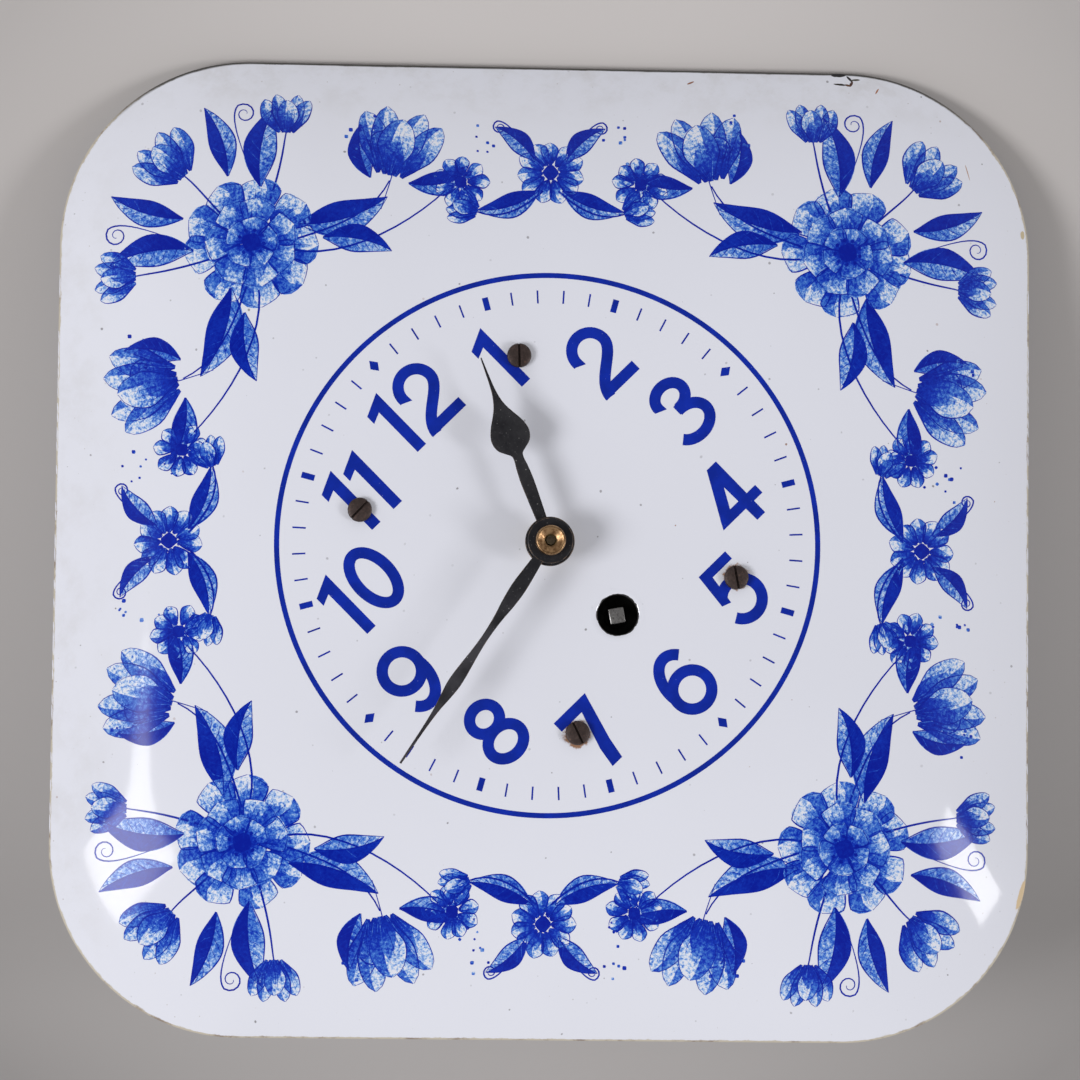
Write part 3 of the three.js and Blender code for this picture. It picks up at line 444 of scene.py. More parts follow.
class Finish:
    """A node material that is built up by short calls. Sizes are in millimetres."""

    def __init__(self, name, metallic=0.0, roughness=0.5, gloss=0.5):
        self.material = bpy.data.materials.new(name)
        self.material.use_nodes = True
        self.tree = self.material.node_tree
        self.shader = self.tree.nodes["Principled BSDF"]
        self.shader.inputs["Metallic"].default_value = metallic
        self.shader.inputs["Roughness"].default_value = roughness
        self.shader.inputs["Specular IOR Level"].default_value = gloss
        self.place = self.add("ShaderNodeTexCoord").outputs["Object"]

    def add(self, kind, **settings):
        node = self.tree.nodes.new(kind)
        for name, value in settings.items():
            setattr(node, name, value)
        return node

    def join(self, source, target):
        self.tree.links.new(source, target)

    def mapped(self, kind="POINT", **values):
        """The place on the piece, moved, turned or scaled."""
        node = self.add("ShaderNodeMapping", vector_type=kind)
        for name, value in values.items():
            node.inputs[name].default_value = value
        self.join(self.place, node.inputs["Vector"])
        return node.outputs["Vector"]

    def axes(self):
        """Place across and up the front."""
        node = self.add("ShaderNodeSeparateXYZ")
        self.join(self.place, node.inputs[0])
        return node.outputs["X"], node.outputs["Z"]

    def noise(self, size, detail=3, roughness=0.55, stretch=(1, 1, 1)):
        """Cloudy noise with spots of about a size."""
        node = self.add("ShaderNodeTexNoise")
        node.inputs["Scale"].default_value = 1 / (size * MM)
        node.inputs["Detail"].default_value = detail
        node.inputs["Roughness"].default_value = roughness
        self.join(self.mapped(Scale=stretch), node.inputs["Vector"])
        return node.outputs["Fac"]

    def cells(self, size, output):
        """Distance from, or colour of, points strewn over the front about a size apart."""
        node = self.add("ShaderNodeTexVoronoi", voronoi_dimensions="2D")
        node.inputs["Scale"].default_value = 1 / (size * MM)
        self.join(self.mapped(Rotation=(math.radians(90), 0, 0)), node.inputs["Vector"])
        return node.outputs[output]

    def specks(self, size, radius, share):
        """Dots of up to a radius, strong and faint, at a share of points about a size apart."""
        chance = self.add("ShaderNodeSeparateColor")
        self.join(self.cells(size, "Color"), chance.inputs[0])
        part = radius / size
        reach = self.math("MULTIPLY_ADD", chance.outputs["Green"], 0.7 * part, 0.3 * part)
        gap = self.cells(size, "Distance")
        wobble = self.math("MULTIPLY_ADD", self.noise(1.5 * radius, 2), 0.8 * part, gap)
        dot = self.fade(self.math("DIVIDE", wobble, reach), 1.35, 0.9)
        strength = self.math("MULTIPLY_ADD", self.math("POWER", chance.outputs["Blue"], 2.0), 0.75, 0.25)
        shown = self.fade(chance.outputs["Red"], 1 - share, 1.02 - share)
        return self.math("MULTIPLY", self.math("MULTIPLY", dot, strength), shown)

    def attribute(self, name):
        return self.add("ShaderNodeAttribute", attribute_name=name).outputs["Fac"]

    def math(self, operation, *values):
        node = self.add("ShaderNodeMath", operation=operation)
        for socket, value in zip(node.inputs, values):
            if isinstance(value, (int, float)):
                socket.default_value = value
            else:
                self.join(value, socket)
        return node.outputs[0]

    def fade(self, source, start, end, low=0.0, high=1.0):
        """A source brought from one range to another, and held there."""
        node = self.add("ShaderNodeMapRange", interpolation_type="SMOOTHSTEP")
        for name, value in zip(("From Min", "From Max", "To Min", "To Max"), (start, end, low, high)):
            node.inputs[name].default_value = value
        self.join(source, node.inputs["Value"])
        return node.outputs["Result"]

    def blend(self, share, first, second, strength=1):
        """Two colours, each a socket or three numbers, mixed by a share at a strength."""
        if strength != 1:
            share = self.math("MULTIPLY", share, strength)
        node = self.add("ShaderNodeMix", data_type="RGBA")
        self.join(share, node.inputs["Factor"])
        for socket, value in ((node.inputs[6], first), (node.inputs[7], second)):
            if isinstance(value, tuple):
                socket.default_value = (*value, 1)
            else:
                self.join(value, socket)
        return node.outputs[2]

    def spot(self, x, y, across, up, degrees=0):
        """Distance from a place on the front, as a share of an oval's radius."""
        node = self.add("ShaderNodeVectorMath", operation="LENGTH")
        oval = self.mapped("TEXTURE", Location=(x * MM, 0, y * MM), Rotation=(0, math.radians(degrees), 0),
                           Scale=(across * MM, 1, up * MM))
        self.join(oval, node.inputs[0])
        return node.outputs["Value"]

    def colour(self, source):
        self.join(source, self.shader.inputs["Base Color"])

    def rough(self, source):
        self.join(source, self.shader.inputs["Roughness"])

    def bump(self, source, depth, strength=1.0):
        node = self.add("ShaderNodeBump")
        node.inputs["Strength"].default_value = strength
        node.inputs["Distance"].default_value = depth * MM
        self.join(source, node.inputs["Height"])
        self.join(node.outputs["Normal"], self.shader.inputs["Normal"])


def finish_of(name, build):
    """A finish by name, built once."""
    return bpy.data.materials.get(name) or build(name)


def scaled(rgb, share):
    """A colour made darker or paler."""
    return tuple(share * part for part in rgb)


# Chips, stains and rust on the enamel: place, half sizes and turn, and the colour that shows there
CHIPS = (
    (143.4, 35.5, 2.0, 0.55, 44, (0.018, 0.016, 0.018)),
    (144.7, 32.6, 1.3, 0.36, 94, (0.025, 0.022, 0.026)),
    (143.9, 31.4, 1.0, 0.40, -17, (0.075, 0.035, 0.025)),
    (143.0, 31.7, 0.9, 0.32, 58, (0.12, 0.055, 0.03)),
    (141.6, 33.4, 1.8, 0.32, 49, (0.030, 0.024, 0.020)),
    (145.7, 31.4, 1.3, 0.32, 40, (0.07, 0.065, 0.045)),
    (147.4, 25.3, 0.95, 0.22, -14, (0.36, 0.15, 0.08)),
    (113.5, 61.0, 1.1, 0.24, 20, (0.28, 0.12, 0.07)),
    (148.9, -6.6, 2.2, 0.14, -60, (0.42, 0.24, 0.15)),
    (148.5, -28.5, 1.2, 0.6, -45, (0.55, 0.46, 0.31)),
    (26.0, -151.0, 4.4, 0.75, -29, (0.66, 0.51, 0.33)),
    (-28.75, -39.95, 3.6, 3.6, 0, (0.33, 0.18, 0.11)),
    (28.65, -39.75, 3.5, 3.5, 0, (0.33, 0.18, 0.11)),
)


def white_enamel(name):
    """Fired white enamel: glossy, faintly uneven, specked, dirtied along the top edge, darkened along the
    left edge partly by dirt and partly as painted shade, and chipped at the rim.
    """
    made = Finish(name, roughness=0.1, gloss=dial().gloss)
    white = tuple(dial().white)
    base = made.blend(made.fade(made.noise(60, 2), 0.3, 0.7), scaled(white, 0.985), white)
    base = made.blend(made.specks(12, 0.48, 0.8), base, (0.16, 0.15, 0.16), 0.8)
    base = made.blend(made.specks(31, 0.5, 0.5), base, (0.26, 0.10, 0.03))
    rim = made.attribute("rim")
    across, up = made.axes()
    # Dirt along the top edge. Along the left edge the darkening is partly dirt and partly painted shade,
    # which tones down the left lamp's strong light there.
    upper = made.fade(made.math("ADD", across, up), 0.150, 0.178)
    left = made.fade(made.math("SUBTRACT", up, across), 0.145, 0.180)
    soiled_and_shaded = made.math("MULTIPLY_ADD", left, 0.6, upper)
    grime_and_shade = made.math("MULTIPLY", soiled_and_shaded, made.fade(made.noise(11, 5, 0.7), 0.40, 0.75))
    base = made.blend(grime_and_shade, base, (0.36, 0.32, 0.25), 0.24)
    dust = made.math("MULTIPLY", made.specks(4.2, 0.26, 0.42), made.fade(rim, 0.80, 0.99))
    base = made.blend(dust, base, (0.24, 0.17, 0.12), 0.5)
    ragged = made.math("MULTIPLY_ADD", made.noise(3, 4, 0.7), 0.010, rim)
    worn = made.fade(ragged, 1.0005, 1.0035)
    bare = made.blend(made.fade(made.noise(7, 4, 0.7), 0.48, 0.66), (0.47, 0.41, 0.30), (0.20, 0.135, 0.075))
    bare = made.blend(upper, bare, (0.045, 0.04, 0.036))
    base = made.blend(worn, base, bare, 0.85)
    # A dark line painted along the top of the rim: partly the sheet's dark edge, partly painted shade where
    # the rim meets the wall.
    line = made.fade(made.math("MULTIPLY_ADD", made.noise(30, 3, 0.6), 0.006, rim), 0.9970, 1.0005)
    base = made.blend(made.math("MULTIPLY", line, upper), base, (0.05, 0.045, 0.04), 0.85)
    for x, y, wide, tall, degrees, stain in CHIPS:
        edge = made.math("MULTIPLY_ADD", made.noise(1.3, 4, 0.65), 0.9, made.spot(x, y, wide, tall, degrees))
        base = made.blend(made.fade(edge, 1.5, 1.25), base, stain)
    made.colour(base)
    smear = made.fade(made.noise(22, 4, 0.6), 0.35, 0.75, 0.06, 0.13)
    made.rough(made.math("ADD", smear, made.math("MULTIPLY", worn, 0.4)))
    made.bump(made.noise(7, 2, 0.4), 0.012)
    return made.material


def hole_enamel(name):
    """Enamel at the winding hole, chipped to dark steel along its inner edge."""
    made = Finish(name, roughness=0.1)
    radius = dial().winding_hole / MM / 2
    gap = made.spot(0, -dial().winding_drop / MM, radius, radius)
    edge = made.math("MULTIPLY_ADD", made.noise(1.6, 4, 0.7), -0.17, gap)
    bare = made.fade(edge, 0.985, 0.965)
    made.colour(made.blend(bare, tuple(dial().white), (0.012, 0.010, 0.010)))
    made.rough(made.fade(bare, 0, 1, 0.08, 0.6))
    return made.material


def ground_coat(name):
    """Dark back of the plate, speckled where the white has been dusted on."""
    made = Finish(name, roughness=0.28)
    ground = tuple(dial().ground)
    shade = made.blend(made.fade(made.noise(30, 4), 0.35, 0.7), ground, scaled(ground, 2.2))
    made.colour(made.blend(made.specks(2.6, 0.4, 0.4), shade, (0.45, 0.46, 0.48)))
    made.rough(made.fade(made.noise(12, 4), 0.3, 0.7, 0.2, 0.42))
    made.bump(made.noise(5, 3), 0.03)
    return made.material


def fired_blue(name):
    """Cobalt print under the glaze, a little uneven, with pinholes."""
    made = Finish(name, roughness=0.14, gloss=dial().gloss)
    cobalt = tuple(printing().cobalt)
    patch = made.fade(made.noise(5, 4, 0.6), 0.3, 0.72)
    ink = made.blend(patch, scaled(cobalt, 0.82), scaled(cobalt, 1.12))
    made.colour(made.blend(made.specks(2.4, 0.15, 0.4), ink, (0.35, 0.40, 0.62), 0.5))
    made.rough(made.fade(made.noise(14, 3), 0.3, 0.7, 0.1, 0.2))
    return made.material


def brush_blue(name):
    """Painted tones from a thin wash to a dense line, broken up like crayon where the paint is thin."""
    made = Finish(name, roughness=0.12, gloss=dial().gloss)
    tone = made.attribute("tone")
    grain = made.math("SUBTRACT", made.noise(0.85, 3, 0.75), 0.5)
    drift = made.math("SUBTRACT", made.noise(5, 3, 0.6), 0.5)
    thin = made.math("SUBTRACT", 1.2, tone)
    rubbed = made.math("MULTIPLY_ADD", made.math("MULTIPLY", grain, thin), 2.0, tone)
    rubbed = made.math("MULTIPLY_ADD", drift, 0.4, rubbed)
    node = made.add("ShaderNodeValToRGB")
    washes = node.color_ramp.elements
    washes[0].position = 0.14
    washes[0].color = (*dial().white, 1)
    washes[1].color = (*flowers().dark, 1)
    for position, wash in ((0.28, flowers().pale), (0.5, flowers().middle), (0.72, flowers().strong)):
        washes.new(position).color = (*wash, 1)
    made.join(rubbed, node.inputs["Fac"])
    made.colour(node.outputs["Color"])
    return made.material


def hand_black(rubbed):
    """A maker of the hands' stoved black paint, dusty, and paler away from the eye, partly from rubbing and
    partly as painted sheen.
    """
    def build(name):
        made = Finish(name, roughness=0.45, gloss=0.28)
        # Paler tone away from the eye: partly wear, partly painted sheen.
        patch = made.fade(made.spot(0, 0, 26, 26), 0.2, 1.0)
        patch = made.math("MULTIPLY", patch, made.fade(made.noise(9, 3), 0.3, 0.65))
        shade = made.blend(patch, tuple(hands().black), rubbed)
        dust = made.fade(made.noise(0.55, 4, 0.75), 0.57, 0.74)
        shade = made.blend(dust, shade, (0.11, 0.108, 0.115), 0.4)
        made.colour(made.blend(made.specks(1.7, 0.2, 0.6), shade, (0.27, 0.265, 0.26)))
        made.rough(made.fade(made.noise(2.5, 4, 0.7), 0.3, 0.75, 0.32, 0.6))
        made.bump(made.noise(0.6, 3, 0.6), 0.006)
        return made.material
    return build


def worn_edge(name):
    """Edge of the hands, rubbed through to brown steel in places."""
    made = Finish(name, metallic=0.4, roughness=0.42)
    rubbed = made.fade(made.noise(2.4, 4, 0.7), 0.42, 0.62)
    made.colour(made.blend(rubbed, tuple(hands().black), (0.13, 0.085, 0.055)))
    made.rough(made.fade(made.noise(0.7, 3), 0.3, 0.7, 0.3, 0.55))
    return made.material


def metal(rgb, patina, roughness, grain=0.35):
    """A maker of metal finishes: a base, a patina in clouds, and fine grain."""
    def build(name):
        made = Finish(name, metallic=1.0, roughness=roughness)
        made.colour(made.blend(made.fade(made.noise(4, 5, 0.65), 0.42, 0.78), tuple(rgb), patina))
        fine = made.noise(grain, 3, 0.6)
        made.rough(made.fade(fine, 0.25, 0.75, roughness - 0.12, roughness + 0.12))
        made.bump(fine, 0.008)
        return made.material
    return build


def nut_brass(name):
    """Turned brass, tarnished in the dish, with fine tool rings."""
    made = Finish(name, metallic=1.0, roughness=0.28)
    brass = tuple(hands().brass)
    rings = made.add("ShaderNodeTexWave", wave_type="RINGS", rings_direction="Y")
    rings.inputs["Scale"].default_value = 1500
    rings.inputs["Distortion"].default_value = 1.2
    made.join(made.place, rings.inputs["Vector"])
    tarnish = made.fade(made.noise(1.6, 5, 0.7), 0.36, 0.66)
    dull = tuple(part * share for part, share in zip(brass, (0.34, 0.28, 0.24)))
    made.colour(made.blend(tarnish, brass, dull))
    made.rough(made.fade(made.noise(0.8, 3), 0.3, 0.7, 0.26, 0.44))
    made.bump(rings.outputs["Fac"], 0.01, 0.5)
    return made.material


def rusty_screw(name):
    """Steel screw gone brown, with orange rust at its edge."""
    made = Finish(name, metallic=0.55, roughness=0.5)
    rust = tuple(fittings().rust)
    shade = made.blend(made.fade(made.noise(1.1, 5, 0.7), 0.42, 0.7), rust, scaled(rust, 1.7))
    bloom = made.fade(made.noise(0.55, 4, 0.7), 0.60, 0.74)
    made.colour(made.blend(bloom, shade, (0.19, 0.085, 0.045), 0.6))
    made.rough(made.fade(made.noise(0.4, 4), 0.3, 0.7, 0.36, 0.66))
    made.bump(made.noise(0.35, 4, 0.7), 0.02)
    return made.material


def smoked_steel(name):
    """Near-black steel with a dull sheen: painted shade for the parts seen through the winding hole, which is
    dark inside.
    """
    made = Finish(name, metallic=0.35, roughness=0.6)
    mottle = made.fade(made.noise(3, 4, 0.65), 0.4, 0.7)
    made.colour(made.blend(mottle, (0.010, 0.009, 0.009), (0.022, 0.019, 0.017)))
    made.rough(made.fade(made.noise(0.8, 3), 0.3, 0.7, 0.48, 0.72))
    return made.material


def plated_sheet(name):
    """Zinc plated sheet, clouded, with pale bloom, dark stains and fine scratches."""
    made = Finish(name, metallic=1.0, roughness=0.42)
    zinc = tuple(fittings().zinc)
    shade = made.blend(made.fade(made.noise(16, 5, 0.65), 0.35, 0.72), zinc, scaled(zinc, 0.70))
    bloom = made.fade(made.noise(4, 5, 0.75), 0.56, 0.76)
    shade = made.blend(bloom, shade, (0.60, 0.60, 0.58), 0.55)
    stain = made.fade(made.noise(7, 6, 0.72), 0.60, 0.74)
    shade = made.blend(stain, shade, (0.17, 0.13, 0.10), 0.65)
    scratch = made.fade(made.noise(0.9, 2, 0.5, (0.05, 1, 1)), 0.66, 0.74)
    made.colour(made.blend(scratch, shade, (0.66, 0.66, 0.67), 0.5))
    made.rough(made.fade(made.noise(9, 5, 0.65), 0.3, 0.72, 0.30, 0.58))
    made.bump(made.noise(24, 3, 0.5), 0.06)
    return made.material


# The wall's painted shade: its span between the picture's edges in metres, and the limits that hold it beyond
# them
WALL_SPAN = 0.36
CORNER_MOST = 0.22
RISE_LEAST, RISE_MOST = 0.70, 1.06


def wall_paint(name):
    """Matt warm grey with painted shade, paler towards the top of the picture and darker towards the corners,
    that only the camera sees, and from the front.
    """
    made = Finish(name, roughness=0.85)
    x, z = made.axes()
    up = made.math("ADD", x, z)
    across = made.math("SUBTRACT", x, z)
    corner = made.math("MULTIPLY", made.math("MULTIPLY", across, across), made.math("MULTIPLY", up, up))
    strength = stage().corner_fall / (WALL_SPAN / 2) ** 4
    fall = made.math("MINIMUM", made.math("MULTIPLY", corner, strength), CORNER_MOST)
    rise = made.math("MULTIPLY_ADD", up, stage().foot_fall / WALL_SPAN, 1 - stage().foot_fall / 2)
    rise = made.math("MINIMUM", made.math("MAXIMUM", rise, RISE_LEAST), RISE_MOST)
    made.colour(made.blend(made.math("SUBTRACT", rise, fall), (0, 0, 0), tuple(stage().wall)))
    seen = made.math("SUBTRACT", made.add("ShaderNodeLightPath").outputs["Is Camera Ray"],
                     made.add("ShaderNodeNewGeometry").outputs["Backfacing"])
    clear = made.add("ShaderNodeBsdfTransparent")
    mix = made.add("ShaderNodeMixShader")
    made.join(seen, mix.inputs[0])
    made.join(clear.outputs[0], mix.inputs[1])
    made.join(made.shader.outputs[0], mix.inputs[2])
    made.join(mix.outputs[0], made.tree.nodes["Material Output"].inputs["Surface"])
    return made.material


# Dial plate


# Radii of the plate's holes, and the heights that their cutters reach between
CENTRE_HOLE, SCREW_HOLE = 4.5, 1.9
HOLE_LOW, HOLE_HIGH = 35, 47
# Rounding of the bend at the rim, and the share that marks the lip behind it
RIM_BEND, LIP_MARK = 0.7, 1.02
# Edge of the winding hole: height of its roll, depth, lap on the plate, overlap with the cut, and rise
ROLL_HEIGHT, COLLAR_DEPTH, COLLAR_LAP, COLLAR_SEAM, COLLAR_RISE = 0.65, 1.3, 0.3, 0.1, 0.008


class CLOCK_OT_dial_plate(bpy.types.Operator):
    """Domed, enamelled dial plate with its holes"""

    bl_idname = "clock.dial_plate"
    bl_label = "Dial plate"

    def execute(self, context):
        dome = Dome()
        bm = bmesh.new()
        rim_layer = bm.verts.layers.float.new("rim")
        faces = 2 * dial().rings
        made = bmesh.ops.create_grid(bm, x_segments=faces, y_segments=faces, size=1)["verts"]
        for vert in made:
            share = max(abs(vert.co.x), abs(vert.co.y))
            angle = self.bearing(vert.co.x, vert.co.y)
            radius = share * dome.rim(angle)
            vert[rim_layer] = share
            vert.co = (radius * math.cos(angle), radius * math.sin(angle), dome.level(share))
        self.turn_back_rim(bm, rim_layer)
        coats = [finish_of("white_enamel", white_enamel), finish_of("ground_coat", ground_coat)]
        piece = make_piece(bm, "enamel_plate", coats, "case", ["dial_plate"])
        thicken(piece, dial().gauge / MM, back_material=1)
        drop = dial().winding_drop / MM
        radius = dial().winding_hole / MM / 2
        roll = dial().hole_roll / MM
        holes = bmesh.new()
        drill(holes, 0, 0, CENTRE_HOLE, HOLE_LOW, HOLE_HIGH)
        drill(holes, 0, -drop, radius + roll - COLLAR_SEAM, HOLE_LOW, HOLE_HIGH)
        for corner in CORNERS:
            screw = Extent(f"dial_screw_{corner}")
            drill(holes, screw.x, screw.y, SCREW_HOLE, HOLE_LOW, HOLE_HIGH)
        carve(piece, holes, 1)
        self.collar(dome.height(0, -drop) + COLLAR_RISE, drop, radius, roll)
        return {"FINISHED"}

    @staticmethod
    def bearing(x, y):
        """Angle that spreads a square's edge evenly, from the plate's own axes to the clock's."""
        if max(abs(x), abs(y)) < MERGE:
            return 0.0
        if abs(x) >= abs(y):
            angle = EIGHTH * y / x + (0 if x > 0 else math.pi)
        else:
            angle = 2 * EIGHTH - EIGHTH * x / y + (0 if y > 0 else math.pi)
        return angle - EIGHTH

    @staticmethod
    def turn_back_rim(bm, rim_layer):
        """Folds the edge of the sheet back towards the wall, with a rounded bend."""
        rim = [edge for edge in bm.edges if edge.is_boundary]
        lip = bmesh.ops.extrude_edge_only(bm, edges=rim)["geom"]
        for vert in only(lip, bmesh.types.BMVert):
            vert.co.z = PLATE.rear
            vert[rim_layer] = LIP_MARK
        bmesh.ops.bevel(bm, geom=rim, offset=RIM_BEND, segments=4, profile=0.5, affect="EDGES", material=-1)

    @staticmethod
    def collar(top, drop, radius, roll):
        """Rounded enamel edge of the winding hole."""
        outer = radius + roll
        lap = outer + COLLAR_LAP
        bend = arc(outer, -ROLL_HEIGHT, -roll, ROLL_HEIGHT, 90, 0, 12)
        foot = -COLLAR_DEPTH
        bm = bmesh.new()
        turn(bm, [(lap, foot), (lap, 0), *bend, (radius, foot), (lap, foot)], 96, 0, -drop, top)
        make_piece(bm, "winding_hole_edge", [finish_of("hole_enamel", hole_enamel)], "case")


# Print


# How far a 1 mm square on its corner is drawn out along and across the radius to a diamond
DIAMOND = (2.55, 1.85)
# Depth of the print, and the rise of each stroke of a digit above the one before
PRINT_DEPTH, STROKE_RISE = 0.1, 0.004
# Digits of each hour, and how far each digit's middle lies from the hour's place
NUMERALS = (
    ("1", ((-1.1, 0.3),)),
    ("2", ((0.1, 0.5),)),
    ("3", ((-0.5, 0.8),)),
    ("4", ((-0.7, 0.6),)),
    ("5", ((1.7, 0.3),)),
    ("6", ((0.3, -0.4),)),
    ("7", ((-1.1, -0.5),)),
    ("8", ((-0.6, -0.3),)),
    ("9", ((-0.6, -0.2),)),
    ("10", ((-6.8, 0.4), (4.4, 0.4))),
    ("11", ((-5.3, 0.65), (2.35, 0.65))),
    ("12", ((-7.5, 0.3), (3.95, 0.3))),
)
# Strokes of the digits about their middles: a list is a line of one width, a tuple a patch's four corners
SIX = [arc(0, -2.95, 5.05, 5.0, 0, 360, 40), arc(0.2, 0.05, 5.25, 7.75, 48, 192, 26)]
DIGITS = {
    "0": [arc(0, 0, 4.5, 7.75, 0, 360, 48)],
    "1": [((0, -9.15), (3.0, -9.15), (3.0, 9.15), (0, 6.6)),
          ((-2.95, 3.75), (0.05, 5.05), (3.0, 9.15), (-2.95, 6.3))],
    "2": [arc(0, 3.0, 4.75, 4.75, 186, 0, 26)
          + bezier((4.75, 3.0), (4.75, -1.4), (-4.35, -3.6), (-4.6, -9.15))[1:],
          ((-6.1, 2.6), (-3.2, 1.3), (-3.3, 3.0), (-6.2, 3.0)),
          ((-6.0, -9.15), (5.9, -9.15), (5.9, -6.25), (-4.4, -6.25))],
    "3": [arc(0.3, 4.3, 4.25, 3.5, 184, -96, 30),
          ((-5.3, 3.9), (-2.4, 2.7), (-2.5, 4.3), (-5.35, 4.3)),
          ((-0.85, -0.7), (0.6, -0.95), (0.6, 2.25), (-0.85, 1.95)),
          arc(-0.05, -3.8, 5.45, 4.2, 96, -152, 30)],
    "4": [((1.15, -9.1), (4.0, -9.1), (4.0, 9.05), (0.65, 9.05)),
          ((-7.05, -5.0), (7.05, -5.0), (7.05, -2.3), (-5.65, -2.3)),
          ((-5.7, -2.5), (-2.15, -2.5), (1.15, 3.5), (0.7, 9.05))],
    "5": [((-4.55, 6.6), (5.0, 6.6), (5.0, 9.15), (-4.55, 9.15)),
          ((-5.5, -0.45), (-3.1, -1.3), (-1.95, 7.0), (-4.55, 9.1)),
          arc(-0.35, -2.55, 5.2, 5.2, 136, -152, 36)],
    "6": SIX,
    "7": [((-5.55, 6.2), (3.0, 6.2), (5.55, 9.15), (-5.55, 9.15)),
          ((-2.35, -9.15), (1.05, -9.15), (2.1, -3.2), (-1.5, -3.6)),
          ((-1.5, -3.7), (2.1, -3.3), (5.55, 9.15), (1.6, 6.25))],
    "8": [arc(0, 4.1, 4.0, 3.65, 0, 360, 36), arc(0, -3.7, 4.95, 4.05, 0, 360, 40)],
    "9": [[(-x, -y) for x, y in points] for points in SIX],
}


def lay_on_dial(verts, dome, lift):
    """Drops a flat drawing on the dome, a film's height above it."""
    for vert in verts:
        vert.co.z = dome.height(vert.co.x, vert.co.y) + lift


class CLOCK_OT_minute_track(bpy.types.Operator):
    """Printed ring, minute marks, hour bars and diamonds"""

    bl_idname = "clock.minute_track"
    bl_label = "Minute track"

    def execute(self, context):
        settings = printing()
        reach = settings.tick_length / MM
        bm = bmesh.new()
        self.ring(bm, settings)
        for minute in range(60):
            angle = math.radians(90 - 6 * minute)
            if minute % 15 == 0:
                self.stamp(bm, angle, DIAMOND, 2, 2, EIGHTH)
            elif minute % 5 == 0:
                self.stamp(bm, angle, (reach, settings.bar_width / MM), 3, 1)
            else:
                self.stamp(bm, angle, (reach, settings.tick_width / MM), 3, 1)
        lay_on_dial(bm.verts, Dome(), settings.film / MM)
        make_film(bm, "minute_track", finish_of("fired_blue", fired_blue), PRINT_DEPTH)
        return {"FINISHED"}

    @staticmethod
    def ring(bm, settings):
        for side in (-0.5, 0.5):
            radius = (settings.ring_radius + side * settings.ring_width) / MM
            bmesh.ops.create_circle(bm, segments=240, radius=radius)
        bmesh.ops.bridge_loops(bm, edges=bm.edges[:])
        bmesh.ops.recalc_face_normals(bm, faces=bm.faces)
        if next(iter(bm.faces)).normal.z < 0:
            bmesh.ops.reverse_faces(bm, faces=bm.faces)

    @staticmethod
    def stamp(bm, angle, size, columns, rows, spin=0):
        """A 1 mm square that is spun, drawn out to a size and put on the track."""
        made = bmesh.ops.create_grid(bm, x_segments=columns, y_segments=rows, size=0.5)["verts"]
        shape = Matrix.Diagonal((*size, 1, 1)) @ Matrix.Rotation(spin, 4, "Z")
        place = Matrix.Rotation(angle, 4, "Z") @ Matrix.Translation((printing().tick_radius / MM, 0, 0))
        bmesh.ops.transform(bm, matrix=place @ shape, verts=made)


class CLOCK_OT_numerals(bpy.types.Operator):
    """Printed numbers 1 to 12"""

    bl_idname = "clock.numerals"
    bl_label = "Numbers"

    def execute(self, context):
        dome = Dome()
        bm = bmesh.new()
        radius = printing().numeral_radius / MM
        for hour, (digits, shifts) in enumerate(NUMERALS, start=1):
            angle = math.radians(90 - 30 * hour)
            for digit, (right, up) in zip(digits, shifts):
                centre = Vector((radius * math.cos(angle) + right, radius * math.sin(angle) + up))
                self.digit(bm, digit, centre, dome)
        make_film(bm, "dial_numbers", finish_of("fired_blue", fired_blue), PRINT_DEPTH)
        return {"FINISHED"}

    def digit(self, bm, digit, centre, dome):
        for layer, shape in enumerate(DIGITS[digit]):
            draw = self.patch if isinstance(shape, tuple) else self.line
            made = draw(bm, centre, shape)
            lay_on_dial(made, dome, printing().film / MM + STROKE_RISE * layer)

    @staticmethod
    def line(bm, centre, points):
        """A stroke of one width, whose ends are joined where they meet."""
        line = Line(points)
        half = printing().numeral_stroke / MM / 2

        def place(along, across):
            point, side = line.at(along)
            return (*(centre + point + side * half * (2 * across - 1)), 0)
        made = sheet(bm, 2 * (len(points) - 1), 3, place)
        if line.closed:
            bmesh.ops.remove_doubles(bm, verts=made, dist=MERGE)
        return [vert for vert in made if vert.is_valid]

    @staticmethod
    def patch(bm, centre, corners):
        """A stroke with straight sides."""
        low_left, low_right, high_right, high_left = (Vector(corner) for corner in corners)

        def place(along, across):
            low = low_left.lerp(low_right, along)
            high = high_left.lerp(high_right, along)
            return (*(centre + low.lerp(high, across)), 0)
        return sheet(bm, 6, 6, place)


# Painted flowers


# Depth of the paint, the rise of a ring of petals above the one before, and of one stroke above another
PAINT_DEPTH, PETAL_RISE, BRUSH_RISE = 0.09, 0.03, 0.0004
# Height of washes, shading, drawn lines, and the middle and stipples of a flower's eye
WASH, SHADE, DRAWN, EYE, STIPPLE = 0, 0.008, 0.016, 0.023, 0.024
# Half width that takes one row of faces, and the least half width of a stroke
ROW, LEAST_WIDTH = 1.3, 0.02
# Turns of a tendril's curl, and the faces along it
CURL_TURNS, CURL_STEPS = 1.35, 18
# Rings of a rose: number of petals, and their inset, reach and half width as shares of its radius
ROSE_RINGS = ((9, 0.36, 0.66, 0.30), (7, 0.20, 0.50, 0.27), (5, 0.06, 0.34, 0.20))
# Petals behind a tulip's front one: heading, and shift and reach as shares of its size
TULIP_PETALS = ((24, 0.16, 0.92), (-24, -0.16, 0.92), (11, 0.07, 1.0), (-11, -0.07, 1.0))
